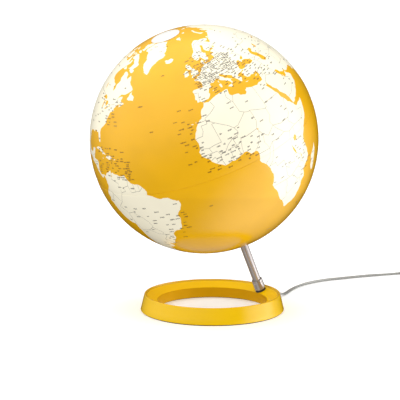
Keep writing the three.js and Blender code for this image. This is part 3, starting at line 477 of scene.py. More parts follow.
        30, -69, 40, -69.3, 48, -67.7, 55, -66.2, 65, -67.5, 70, -69, 73, -69.8, 80, -67.8, 90, -66.7,
        100, -66, 110, -66.2, 125, -66.5, 135, -66, 145, -67, 155, -69, 165, -71, 170, -72, 167, -76,
        163, -78, 172, -78.3],
    "baffin": [
        -64.5, 63.4, -66.0, 61.9, -71.5, 63.0, -74.0, 64.5, -78.0, 64.5, -74.0, 65.5, -72.5, 67.5,
        -76.5, 68.7, -79.0, 70.0, -86.0, 70.2, -89.5, 71.0, -89.0, 73.2, -85.0, 73.8, -81.0, 73.7,
        -76.5, 72.7, -71.0, 71.2, -67.5, 69.5, -62.0, 67.0, -64.5, 65.5, -67.5, 64.0],
    "ellesmere": [
        -78.0, 76.2, -90.0, 76.4, -86.5, 77.5, -87.5, 79.5, -91.0, 80.8, -85.0, 82.2, -70.0, 83.1,
        -62.0, 82.5, -68.0, 80.5, -75.0, 79.0, -77.0, 77.3],
    "victoria_island": [
        -117, 69.9, -113, 68.6, -105, 69, -101.5, 69.7, -105, 71.5, -105.5, 73, -112, 73, -119, 71.6],
    "banks_island": [-125.5, 72, -123, 71.2, -117.5, 73, -121, 74.5, -124.7, 74.2],
    "devon": [-80, 74.7, -91.5, 74.7, -92, 76.2, -84, 75.8],
    "axel_heiberg": [-90, 78.3, -96, 80.2, -92, 81.3, -88.5, 80],
    "melville_island": [-106, 75, -115, 75, -117, 76.3, -109, 76.2],
    "prince_of_wales": [-98, 71.6, -102, 72.5, -100, 73.8, -97, 73.5],
    "somerset": [-90.5, 73.8, -92.0, 72.7, -95.3, 72.5, -95.5, 73.8],
    "southampton": [-80.5, 63.8, -87.0, 63.7, -85.0, 65.9, -81.5, 64.5],
    "newfoundland": [
        -59.3, 47.7, -55.8, 47.0, -53.2, 46.7, -53.0, 48.6, -55.5, 49.9, -55.7, 51.5, -57.3, 50.6],
    "vancouver_island": [-123.5, 48.4, -128.2, 50.7, -125.0, 50.2],
    "cuba": [
        -84.9, 21.9, -82.5, 23.1, -79.5, 22.8, -75.7, 21.0, -74.2, 20.2, -77.5, 19.9, -77.7, 20.7,
        -81.0, 21.7],
    "hispaniola": [-74.4, 18.5, -73.0, 19.9, -69.9, 19.7, -68.4, 18.6, -71.1, 17.8, -72.5, 18.3],
    "jamaica": [-78.3, 18.4, -76.3, 18.2, -77.0, 17.8],
    "puerto_rico": [-67.2, 18.4, -65.7, 18.3, -67.0, 17.9],
    "trinidad": [-61.8, 10.7, -61.0, 10.8, -61.1, 10.1, -61.8, 10.1],
    "falklands": [-61.0, -51.8, -57.8, -51.5, -59.5, -52.3],
    "great_britain": [
        -5.6, 50.1, -3.5, 50.3, -1.2, 50.7, 1.3, 51.1, 0.9, 51.7, 1.7, 52.6, 0.3, 53.0, -0.2, 54.0,
        -1.6, 55.3, -2.1, 56.4, -2.0, 57.6, -4.0, 57.7, -3.1, 58.6, -5.0, 58.5, -5.8, 57.4, -5.6, 56.2,
        -4.8, 55.2, -3.2, 54.9, -3.0, 53.7, -4.4, 53.3, -4.2, 52.5, -5.2, 51.9, -3.2, 51.5, -4.3, 51.1],
    "ireland": [
        -6.2, 53.4, -6.4, 52.2, -8.4, 51.7, -10.2, 51.9, -9.4, 53.2, -10.0, 54.2, -8.3, 54.6, -7.5, 55.3,
        -5.9, 54.9],
    "iceland": [
        -22.6, 63.9, -19.0, 63.4, -15.0, 64.3, -13.8, 65.2, -16.2, 66.4, -20.3, 65.8, -22.5, 66.4,
        -24.2, 65.6, -22.0, 65.0, -23.8, 64.8],
    "zealand": [11.1, 55.7, 12.5, 56.0, 12.2, 55.1, 11.3, 55.1],
    "svalbard": [
        15.0, 76.8, 18.5, 78.0, 21.5, 78.2, 20.0, 79.0, 27.0, 80.0, 18.0, 80.3, 11.5, 79.6, 13.8, 78.0],
    "novaya_zemlya": [
        51.6, 71.5, 57.5, 70.6, 56.0, 73.0, 60.5, 75.0, 68.5, 76.8, 66.0, 77.0, 56.5, 75.5, 53.5, 73.7],
    "franz_josef": [50.0, 80.4, 58.0, 80.2, 61.0, 80.9, 52.0, 81.3],
    "severnaya_zemlya": [95.5, 79.5, 103.0, 78.4, 105.0, 79.2, 97.0, 81.0],
    "new_siberian": [138.0, 75.8, 145.0, 75.0, 150.0, 75.3, 143.0, 76.1],
    "sicily": [12.5, 38.0, 15.6, 38.2, 15.1, 36.7],
    "sardinia": [8.2, 40.9, 9.7, 41.0, 9.5, 39.2, 8.5, 39.0],
    "corsica": [8.7, 42.5, 9.5, 42.9, 9.3, 41.5],
    "balearics": [2.4, 39.5, 3.4, 39.8, 3.1, 39.3],
    "crete": [23.6, 35.5, 26.2, 35.2, 24.8, 34.9],
    "cyprus": [32.4, 35.0, 34.5, 35.6, 33.7, 34.7],
    "canaries": [-16.9, 28.3, -15.4, 28.2, -15.7, 27.8],
    "fuerteventura": [-14.2, 28.2, -13.6, 28.9, -13.9, 28.1],
    "madagascar": [
        49.3, -12.0, 50.4, -15.5, 49.5, -17.5, 47.8, -22.5, 46.9, -25.1, 45.2, -25.5, 43.7, -23.5,
        43.4, -21.5, 44.4, -19.8, 44.2, -17.0, 46.0, -15.8, 47.8, -14.5],
    "sri_lanka": [79.9, 8.5, 80.2, 9.8, 81.8, 7.5, 80.6, 5.9],
    "sumatra": [
        95.3, 5.6, 98.0, 4.2, 100.5, 2.2, 103.6, -0.9, 106.0, -3.0, 105.8, -5.8, 102.5, -4.2, 100.3, -1.2,
        98.7, 1.7],
    "java": [105.3, -6.8, 106.0, -6.0, 110.5, -6.5, 114.4, -7.8, 114.2, -8.7, 109.0, -7.8],
    "borneo": [
        109.0, 1.5, 111.3, 2.5, 113.5, 3.8, 117.0, 7.0, 119.2, 5.2, 117.8, 2.5, 118.9, 1.0, 117.0, -0.5,
        116.2, -3.8, 114.5, -4.1, 111.5, -3.2, 110.0, -1.5, 109.1, 0.0],
    "sulawesi": [
        119.5, -0.8, 120.8, 1.2, 125.0, 1.6, 121.0, 0.4, 120.5, -0.9, 123.3, -1.0, 121.5, -2.2,
        122.8, -4.5, 120.8, -3.0, 120.4, -5.5, 119.4, -5.0, 119.0, -2.8],
    "timor": [123.6, -10.3, 127.2, -8.4, 124.5, -9.1],
    "new_guinea": [
        131.0, -0.8, 134.2, -0.9, 135.2, -3.3, 138.0, -1.7, 141.0, -2.6, 145.0, -4.3, 147.8, -6.1,
        147.2, -7.5, 150.5, -10.3, 147.0, -9.5, 144.0, -7.7, 141.0, -9.1, 138.0, -8.3, 138.5, -6.5,
        135.0, -4.4, 132.8, -4.0, 133.0, -2.5],
    "new_britain": [148.5, -5.7, 152.2, -4.3, 150.5, -6.2],
    "luzon": [120.3, 16.0, 120.8, 18.5, 122.2, 18.4, 121.6, 15.8, 124.0, 12.7, 120.8, 13.8],
    "visayas": [122.0, 11.8, 125.6, 12.3, 124.9, 10.3, 122.5, 9.8],
    "mindanao": [122.0, 7.0, 123.5, 8.7, 125.5, 9.8, 126.5, 7.2, 125.3, 5.8, 124.0, 6.8],
    "palawan": [117.3, 8.3, 119.5, 11.2, 119.2, 10.2],
    "taiwan": [120.1, 23.0, 121.5, 25.2, 121.0, 22.2],
    "hainan": [108.7, 19.2, 110.6, 20.1, 110.2, 18.5],
    "honshu": [
        130.9, 33.9, 132.5, 35.4, 136.0, 35.7, 137.0, 37.3, 139.5, 38.3, 140.0, 40.5, 141.4, 41.4,
        141.9, 39.5, 140.9, 36.8, 140.2, 35.2, 138.0, 34.7, 135.8, 33.5, 134.0, 34.6],
    "kyushu": [129.8, 33.0, 131.0, 33.9, 132.0, 32.8, 131.1, 31.4, 130.2, 31.4],
    "shikoku": [132.4, 33.4, 134.2, 34.3, 134.5, 33.8, 133.0, 32.8],
    "hokkaido": [140.0, 41.5, 140.4, 43.3, 141.7, 45.4, 145.3, 44.2, 145.5, 43.2, 143.2, 42.0, 141.0, 42.5],
    "sakhalin": [
        142.0, 46.0, 143.5, 46.8, 143.0, 49.2, 143.3, 52.5, 142.6, 54.3, 141.8, 52.0, 142.1, 48.5],
    "tasmania": [144.8, -40.8, 148.3, -40.9, 147.9, -43.0, 146.1, -43.5],
    "north_island": [
        172.8, -34.5, 175.5, -36.5, 178.4, -37.7, 177.0, -39.6, 175.2, -41.6, 173.8, -39.2, 174.7, -37.5],
    "south_island": [
        172.7, -40.6, 174.2, -41.8, 172.9, -43.7, 170.7, -45.9, 168.3, -46.6, 166.5, -45.9, 170.5, -43.0],
    "new_caledonia": [164.2, -20.2, 166.9, -22.2, 165.8, -22.0],
    "hawaii": [-156.0, 20.2, -154.9, 19.5, -155.8, 19.0],
}

INLAND_WATERS = {
    "black_sea": [
        28.9, 41.3, 31.2, 41.2, 33.3, 42.0, 35.2, 42.0, 36.8, 41.2, 39.5, 41.0, 41.5, 41.5, 41.4, 42.7,
        39.0, 44.1, 37.4, 44.8, 35.2, 45.0, 33.9, 44.4, 32.6, 45.4, 33.6, 46.1, 31.8, 46.5, 30.7, 46.2,
        29.7, 45.2, 28.6, 43.9, 27.7, 42.6, 28.2, 41.7],
    "azov": [35.0, 45.6, 37.0, 45.4, 38.2, 46.3, 39.0, 47.2, 37.0, 46.9, 35.2, 46.4],
    "caspian": [
        49.2, 46.4, 51.2, 47.0, 53.0, 46.8, 53.0, 45.3, 51.3, 45.2, 50.3, 44.3, 51.5, 43.2, 52.7, 42.5,
        52.8, 41.2, 53.6, 39.2, 53.9, 37.2, 51.5, 36.6, 49.8, 37.5, 48.9, 38.4, 49.4, 40.3, 48.5, 41.9,
        47.5, 43.1, 47.0, 44.6],
    "aral": [58.3, 44.2, 59.8, 46.4, 61.6, 46.5, 60.8, 44.8, 59.5, 43.8],
    "balkhash": [73.7, 45.2, 75.5, 45.9, 79.0, 46.3, 78.8, 46.9, 75.2, 46.6],
    "baikal": [103.8, 51.6, 106.0, 51.8, 108.0, 53.0, 109.8, 55.6, 109.0, 55.6, 106.5, 53.0],
    "ladoga": [30.9, 60.1, 32.8, 60.6, 31.5, 61.6, 30.2, 61.1],
    "vanern": [12.5, 58.6, 13.8, 58.7, 13.4, 59.3],
    "victoria": [31.7, -0.5, 33.5, 0.3, 34.2, -0.5, 33.6, -2.2, 32.0, -2.5, 31.7, -1.5],
    "tanganyika": [29.2, -3.4, 29.8, -4.5, 31.0, -7.0, 31.2, -8.7, 30.5, -8.2, 29.3, -6.0],
    "malawi": [34.0, -9.6, 34.6, -11.0, 34.9, -13.5, 34.2, -12.0],
    "chad": [13.5, 13.5, 14.6, 13.7, 14.4, 12.9],
    "superior": [-92.1, 46.7, -88.5, 48.6, -84.8, 47.6, -84.6, 46.5, -87.5, 46.5, -90.5, 46.8],
    "michigan": [-87.3, 41.7, -86.3, 42.5, -86.3, 44.5, -85.0, 45.8, -87.0, 45.7, -87.8, 43.5],
    "huron": [-84.2, 45.9, -81.0, 46.0, -80.0, 44.6, -81.6, 43.5, -82.5, 43.2, -83.4, 44.3],
    "erie": [-83.4, 41.7, -81.5, 42.6, -78.9, 42.8, -80.5, 42.0],
    "ontario": [-79.7, 43.3, -76.4, 44.1, -76.3, 43.5, -78.5, 43.3],
    "winnipeg": [-97.0, 50.5, -96.2, 51.5, -98.0, 53.8, -99.0, 53.0],
    "great_bear": [-124.0, 65.3, -119.0, 66.0, -120.5, 67.0, -124.0, 66.3],
    "great_slave": [-116.5, 61.2, -110.0, 62.8, -115.0, 62.4],
    "maracaibo": [-71.9, 10.6, -71.2, 9.4, -72.0, 9.2],
}

BORDERS = [
    [-8.7, 27.7, -8.7, 26.0, -12.0, 26.0, -12.0, 23.4, -13.1, 21.3, -17.0, 21.0], [-13.2, 27.7, -8.7, 27.7],
    [-8.7, 27.7, -4.8, 25.0, 1.2, 21.1, 3.2, 19.1, 5.8, 19.5, 11.9, 23.5, 9.9, 24.8, 9.5, 30.0, 7.5, 33.8,
     8.6, 36.9],
    [-4.8, 25.0, -6.6, 25.0, -5.5, 15.5, -9.5, 15.4, -12.2, 14.8, -16.5, 16.0],
    [-2.2, 35.1, -1.2, 32.1, -5.0, 30.0, -8.7, 28.7, -8.7, 27.7], [9.5, 30.2, 11.5, 33.1],
    [11.9, 23.5, 14.2, 22.6, 15.0, 23.0, 24.0, 19.5, 24.0, 20.0, 25.0, 20.0, 25.0, 31.6],
    [25.0, 22.0, 36.9, 22.0], [15.0, 23.0, 15.5, 20.5, 15.5, 16.9, 13.6, 13.7],
    [24.0, 19.5, 24.0, 15.7, 22.0, 13.0, 22.9, 11.0, 27.5, 9.5, 34.0, 9.5, 36.0, 11.0, 37.0, 17.0, 38.6, 18.0],
    [3.6, 11.7, 4.1, 13.5, 7.0, 13.0, 13.6, 13.7, 14.2, 12.5, 13.2, 9.5, 11.0, 6.5, 8.6, 4.8],
    [2.7, 6.4, 2.8, 9.0, 3.6, 11.7, 0.8, 11.0, 0.2, 15.0], [1.2, 6.1, 0.8, 11.0],
    [3.2, 19.1, 4.2, 16.8, 3.5, 15.4, 0.2, 15.0, -3.0, 13.0, -5.5, 10.4, -8.0, 10.2, -9.0, 12.3,
     -11.4, 12.2, -12.2, 14.8],
    [-3.0, 5.1, -2.8, 11.0, 0.8, 11.0], [-7.5, 4.4, -8.4, 7.5, -8.0, 10.2],
    [-11.4, 6.9, -8.4, 7.5], [-13.2, 9.0, -11.0, 10.0, -10.3, 7.3], [-16.7, 12.4, -11.4, 12.2],
    [14.2, 12.5, 15.5, 10.0, 18.0, 8.0, 22.9, 11.0], [15.5, 10.0, 14.5, 6.0, 16.2, 2.2],
    [16.2, 2.2, 18.5, 4.3, 22.5, 4.1, 27.4, 5.0, 24.0, 8.7, 22.9, 11.0],
    [27.4, 5.0, 30.9, 3.5, 34.0, 4.2, 36.0, 4.4, 42.0, 4.2, 45.0, 5.0, 48.0, 8.0, 43.0, 9.0, 42.8, 10.9],
    [34.0, 9.5, 33.0, 8.0, 36.0, 4.4], [34.0, 4.2, 34.0, 0.2], [33.9, -1.0, 37.6, -3.0, 39.2, -4.7],
    [41.0, 4.0, 41.0, -1.7], [30.9, 3.5, 29.6, 0.5, 29.6, -1.4, 29.0, -4.0],
    [18.6, 4.3, 17.8, 0.5, 16.0, -2.5, 15.3, -4.3, 13.0, -5.9], [9.8, 2.3, 16.2, 2.2, 14.4, -1.9, 11.2, -3.9],
    [12.3, -6.0, 16.6, -5.9, 17.0, -8.0, 21.8, -7.3, 22.0, -11.0, 24.0, -12.9, 24.0, -10.9, 28.4, -11.8,
     28.6, -8.5, 30.8, -8.3, 33.3, -10.0, 33.2, -14.0],
    [22.0, -11.0, 22.0, -16.2, 23.4, -17.6], [11.8, -17.3, 14.0, -17.4, 21.4, -17.9, 25.2, -17.8],
    [21.0, -18.0, 21.0, -22.0, 20.0, -22.0, 20.0, -28.4, 16.5, -28.6],
    [20.0, -24.8, 20.8, -26.8, 25.3, -25.7, 29.4, -22.2, 31.3, -22.4],
    [25.2, -17.8, 28.0, -20.5, 29.4, -22.2],
    [25.2, -17.8, 28.9, -15.9, 30.4, -15.6, 33.0, -17.3, 32.7, -20.5, 31.3, -22.4, 32.0, -26.0, 32.9, -26.8],
    [30.4, -15.6, 33.2, -14.0, 34.6, -14.5, 35.8, -16.1], [34.6, -11.6, 40.4, -10.5],
    [-1.8, 43.3, 3.1, 42.4], [-7.4, 37.2, -7.0, 39.7, -6.2, 41.6, -8.8, 41.9],
    [7.5, 43.8, 7.0, 46.0, 7.6, 47.6, 8.2, 49.0, 6.2, 49.5, 2.5, 51.1],
    [7.0, 46.0, 10.5, 46.6, 13.7, 46.5, 13.7, 45.6],
    [7.6, 47.6, 13.0, 47.6, 13.8, 48.8, 12.2, 50.3, 14.8, 51.0, 14.4, 53.9], [6.2, 49.5, 7.1, 53.3],
    [14.8, 51.0, 18.8, 49.5, 22.6, 49.1, 23.6, 51.5, 23.5, 53.9, 19.8, 54.4],
    [13.8, 48.8, 17.0, 48.0, 22.2, 48.1, 22.6, 49.1], [13.7, 46.5, 16.5, 46.5, 21.0, 46.2, 22.9, 48.0],
    [21.0, 46.2, 22.5, 44.5, 28.0, 43.8], [22.5, 44.5, 22.9, 42.0, 26.3, 41.7, 28.0, 42.0],
    [22.9, 42.0, 21.0, 41.0, 20.0, 39.7], [22.6, 49.1, 28.0, 48.2, 28.2, 45.5],
    [23.5, 53.9, 27.0, 55.8, 31.5, 53.0, 31.8, 52.1, 38.0, 49.8, 38.2, 47.1], [23.6, 51.5, 31.8, 52.1],
    [27.0, 55.8, 27.5, 57.5, 28.0, 59.4], [28.0, 60.6, 31.5, 62.9, 29.0, 66.9, 28.9, 69.0],
    [24.1, 65.8, 23.6, 68.0, 20.5, 69.1, 14.5, 66.0, 12.2, 62.0, 11.3, 59.1], [20.5, 69.1, 28.9, 69.4],
    [36.0, 35.9, 42.4, 37.1, 44.8, 37.2, 44.8, 39.7, 43.5, 41.1, 41.5, 41.5],
    [42.4, 37.1, 38.8, 33.4, 35.6, 32.7], [44.8, 37.2, 45.5, 34.0, 48.0, 30.0],
    [35.0, 29.5, 39.2, 32.0, 46.5, 29.1, 48.4, 28.5], [39.2, 32.0, 38.8, 33.4],
    [43.0, 16.7, 47.0, 17.0, 52.0, 19.0, 53.1, 16.7], [52.0, 19.0, 55.5, 21.5, 55.2, 22.7, 51.5, 24.3],
    [44.8, 39.7, 48.0, 39.7, 48.9, 38.4], [43.5, 41.1, 46.5, 41.8, 48.5, 41.8], [40.0, 43.4, 46.5, 41.8],
    [53.9, 37.3, 61.2, 36.6, 61.0, 31.0, 61.7, 25.2],
    [61.2, 36.6, 66.5, 37.3, 74.9, 37.3, 71.5, 36.0, 70.0, 33.0, 66.3, 29.9, 61.0, 29.8],
    [74.9, 37.3, 77.8, 35.5, 74.0, 33.5, 74.5, 31.0, 70.0, 27.8, 70.8, 24.6, 68.3, 23.8],
    [77.8, 35.5, 79.0, 32.0, 81.0, 30.2, 88.0, 27.9, 92.0, 27.7, 97.3, 28.2, 97.5, 24.0, 101.5, 21.3,
     105.3, 23.3, 108.0, 21.5],
    [81.0, 30.2, 80.2, 28.7, 88.1, 26.4, 88.0, 27.9], [88.9, 21.8, 88.5, 26.0, 92.0, 25.2, 92.3, 21.0],
    [97.3, 28.2, 93.0, 23.5, 92.3, 21.0], [101.5, 21.3, 100.1, 20.4, 97.8, 18.5, 98.6, 15.0, 99.5, 11.5],
    [100.1, 20.4, 104.0, 18.2, 105.5, 14.3, 102.5, 12.0],
    [102.2, 22.4, 105.0, 18.8, 107.5, 15.0, 106.0, 11.0, 104.5, 10.4],
    [49.0, 46.4, 47.0, 49.0, 51.0, 51.5, 60.0, 50.8, 61.5, 54.0, 70.0, 55.2, 76.5, 54.2, 80.0, 51.0,
     87.3, 49.1, 82.5, 45.2, 80.2, 42.2, 73.6, 39.5, 74.9, 37.3],
    [52.8, 41.2, 58.5, 42.7, 66.5, 37.4], [56.0, 45.0, 61.0, 44.4, 66.0, 43.0, 70.5, 42.0, 80.2, 42.2],
    [87.3, 49.1, 98.3, 52.0, 107.0, 49.5, 116.7, 49.8, 119.8, 46.7, 111.5, 43.5, 104.0, 41.8, 96.0, 42.8,
     87.3, 49.1],
    [116.7, 49.8, 120.0, 53.3, 125.5, 53.0, 130.8, 47.8, 134.7, 48.3, 131.2, 43.0, 130.6, 42.4],
    [124.3, 40.0, 130.6, 42.4], [126.7, 37.8, 128.4, 38.5],
    [-123.0, 49.0, -110.0, 49.0, -95.2, 49.0, -89.5, 48.0], [-82.5, 42.5, -82.5, 43.0],
    [-76.3, 44.2, -71.5, 45.0, -69.2, 47.4, -67.8, 46.0, -67.1, 44.9],
    [-130.3, 54.9, -130.1, 56.0, -135.5, 59.7, -141.0, 60.3, -141.0, 69.6],
    [-117.1, 32.5, -111.0, 31.3, -106.5, 31.8, -101.4, 29.8, -99.2, 26.4, -97.2, 25.9],
    [-92.2, 14.6, -91.0, 17.2, -89.2, 17.8, -88.3, 18.5], [-89.3, 14.4, -83.2, 15.0], [-85.7, 11.1, -83.7, 11.0],
    [-71.3, 11.9, -72.5, 8.0, -67.5, 6.2, -67.0, 1.2, -63.5, 2.2, -64.5, 4.1, -60.7, 5.2, -60.0, 8.5],
    [-60.7, 5.2, -59.5, 1.5, -56.5, 2.0, -54.0, 2.2, -51.7, 4.2], [-57.2, 6.0, -56.5, 2.0],
    [-54.0, 5.8, -54.0, 2.2], [-67.0, 1.2, -69.9, -4.2, -75.0, -0.2, -78.8, 1.4],
    [-80.3, -3.4, -78.4, -4.8, -75.2, -0.2],
    [-69.9, -4.2, -73.9, -7.3, -70.6, -9.5, -69.5, -11.0, -65.4, -10.0, -60.4, -13.6, -58.2, -16.3,
     -57.8, -19.0, -58.2, -20.0, -54.3, -24.0, -54.6, -25.6, -53.8, -27.2, -57.6, -30.2, -53.5, -33.7],
    [-69.5, -11.0, -69.0, -15.5, -69.5, -17.5, -67.9, -22.8, -62.6, -22.2, -58.2, -20.0],
    [-62.6, -22.2, -57.7, -25.3, -54.6, -25.6], [-70.4, -18.3, -69.5, -17.5], [-58.4, -34.0, -57.6, -30.2],
    [-67.9, -22.8, -69.5, -28.0, -70.2, -33.0, -71.5, -38.0, -71.8, -44.0, -73.0, -50.0, -68.4, -52.4],
    [141.0, -2.6, 141.0, -9.1], [109.6, 2.0, 115.0, 2.2, 117.6, 4.2],
    [129.0, -14.9, 129.0, -31.6], [138.0, -16.5, 138.0, -26.0, 141.0, -26.0, 141.0, -38.0],
    [129.0, -26.0, 138.0, -26.0], [141.0, -29.0, 149.0, -29.0, 153.5, -28.3], [141.0, -34.0, 149.9, -37.5],
]

SEA, LAND, BORDER, SEA_NOTE, LAND_NOTE, BARE = range(6)     # the map's material slots
ROLL = {1: (6.0, 0.00034), -1: (3.0, 0.00006)}   # degrees and depth by which each half rolls in at the seam
CRINKLE = 0.11                                   # bays and capes, as a share of a coast's stretch
LINE_WIDTH = 0.18                                # borders, in degrees on the globe
NOTE_HEIGHT = 0.50                               # writing, in degrees on the globe
MESH_ROWS = 36                                   # rows of the shell's mesh from pole to equator


def pairs(numbers):
    return list(zip(numbers[::2], numbers[1::2]))


def crinkled(start, end, step):
    """Points from start up to end, with small bays and capes between them."""
    across = math.cos(math.radians((start[1] + end[1]) / 2))
    eastward = (end[0] - start[0] + 180) % 360 - 180
    run, rise = eastward * across, end[1] - start[1]
    if math.hypot(run, rise) < step:
        return [start]
    middle = (start[0] + eastward / 2, (start[1] + end[1]) / 2)
    push = CRINKLE * noise.noise(Vector((middle[0] * 1.7, middle[1] * 1.7, 3.1))) * 2
    middle = (middle[0] - rise * push / max(across, 0.2), middle[1] + run * push)
    return crinkled(start, middle, step) + crinkled(middle, end, step)


def coast(numbers):
    corners = pairs(numbers)
    return [point for start, end in zip(corners, corners[1:] + corners[:1])
            for point in crinkled(start, end, 1.3)]


def on_plane(longitude, latitude, pole):
    """The flat map round a pole: distance from the middle is the angle from that pole."""
    away, turn = 90 - pole * latitude, math.radians(longitude - MAP_TURN)
    return Vector((away * math.cos(turn), away * math.sin(turn)))


def bar(start, end, half_width, pole):
    """The corners of a narrow straight strip between two points of the map."""
    start, end = on_plane(*start, pole), on_plane(*end, pole)
    run = (end - start).normalized()
    side = Vector((-run.y, run.x)) * half_width
    return [start + side, end + side, end - side, start - side]


class Outline:
    """A closed line on the flat map round one pole, and the box that it fills there."""

    def __init__(self, corners, pole):
        self.points = [on_plane(*corner, pole) for corner in corners]
        xs, ys = [point.x for point in self.points], [point.y for point in self.points]
        self.west, self.east, self.south, self.north = min(xs), max(xs), min(ys), max(ys)

    def holds(self, x, y):
        if not (self.west < x < self.east and self.south < y < self.north):
            return False
        crossings = 0
        for a, b in zip(self.points, self.points[1:] + self.points[:1]):
            if (a.y > y) != (b.y > y) and x < (b.x - a.x) * (y - a.y) / (b.y - a.y) + a.x:
                crossings += 1
        return crossings % 2 == 1


def outlines(shapes, line, pole):
    """Those of the shapes that reach the half of the globe round this pole."""
    drawn = [line(numbers) for numbers in shapes.values()]
    return [Outline(corners, pole) for corners in drawn if any(pole * latitude > -2 for _, latitude in corners)]


COASTS = {pole: outlines(LANDS, coast, pole) for pole in (1, -1)}
WATERS = {pole: outlines(INLAND_WATERS, pairs, pole) for pole in (1, -1)}
# Crowded corners of the map, each with its west, east, south and north edges in degrees, how far apart its lines
# of writing are and how much of them is filled.
CROWDS = [
    (-6, 31, 43.5, 56, 0.85, 0.80), (-8, 40, 36, 62, 1.25, 0.55), (-84, -59, 10, 24, 1.15, 0.50),
    (-67, -56, 8, 19, 0.95, 0.75), (-26, -14, 10, 37, 1.5, 0.50), (-17, 11, 2, 15, 1.3, 0.50),
    (-95, -64, 34, 48, 1.4, 0.45), (-58, -34, -30, -12, 1.7, 0.40), (28, 48, 28, 42, 1.4, 0.5),
    (40, 75, 35, 56, 1.8, 0.4), (28, 42, -20, 2, 1.8, 0.4), (95, 125, -9, 20, 1.4, 0.5), (100, 145, 22, 45, 1.3, 0.5),
]
# How far apart the lines are on the rest of the map and how much of them is filled, on land and at sea.
OPEN_LAND, OPEN_SEA = (2.9, 0.30), (7.0, 0.08)


def is_land(longitude, latitude):
    pole = 1 if latitude > 0 else -1
    x, y = on_plane(longitude, latitude, pole)
    return (any(outline.holds(x, y) for outline in COASTS[pole])
            and not any(outline.holds(x, y) for outline in WATERS[pole]))


def letters(draw, longitude, latitude, length):
    """A word's blocks: upright bars of uneven height in a row, from one longitude on."""
    across = math.cos(math.radians(latitude))
    blocks, run = [], 0.0
    while run < length:
        wide = draw.uniform(0.16, 0.30)
        blocks.append(((longitude + run / across, latitude), (longitude + (run + wide) / across, latitude),
                       NOTE_HEIGHT * draw.choice((0.42, 0.42, 0.60, 0.78))))
        run += wide + 0.09
    return blocks


def written_band(draw, west, east, south, north, apart, share, wanted):
    """Lines of writing along the parallels, wherever wanted(longitude, latitude) allows a word."""
    words = []
    latitude = south + apart / 2
    while latitude < north:
        across = math.cos(math.radians(latitude))
        longitude = west + draw.uniform(0, 3) * apart
        while longitude < east:
            length = draw.uniform(0.9, 2.6)
            level = latitude + draw.uniform(-0.18, 0.18) * apart
            middle = longitude + length / 2 / across
            if draw.random() < share and middle < east and wanted(middle, level):
                words += [(*block, is_land(middle, level)) for block in letters(draw, longitude, level, length)]
            longitude += (length + 0.5 + (0 if share > 0.7 else draw.uniform(0, 2) * apart)) / across
        latitude += apart
    return words


def printed_notes():
    """Small rows of blocks that stand where a map has its writing."""
    draw, words = random.Random(11), []

    def crowded(longitude, latitude, among):
        return any(west < longitude < east and south < latitude < north for west, east, south, north, *_ in among)

    for number, crowd in enumerate(CROWDS):
        words += written_band(draw, *crowd, lambda x, y: not crowded(x, y, CROWDS[:number]))
    for (apart, share), ashore in ((OPEN_LAND, True), (OPEN_SEA, False)):
        words += written_band(draw, -180, 180, -58, 80, apart, share,
                              lambda x, y: is_land(x, y) == ashore and not crowded(x, y, CROWDS))
    return words


NOTES = printed_notes()


def globe_normal(away, turn, pole):
    """Where a point of the shell lies, by its angles from the pole and round it, and how the shell faces there."""
    span, depth = ROLL[pole]
    late = max(0.0, (math.degrees(away) - 90 + span) / span)
    slope = 2 * depth * late / math.radians(span)
    radius = GLOBE_RADIUS - depth * late * late
    out = Vector((math.sin(away) * math.cos(turn), math.sin(away) * math.sin(turn), pole * math.cos(away)))
    down = Vector((math.cos(away) * math.cos(turn), math.cos(away) * math.sin(turn), -pole * math.sin(away)))
    return out * radius, (out * radius + down * slope).normalized()


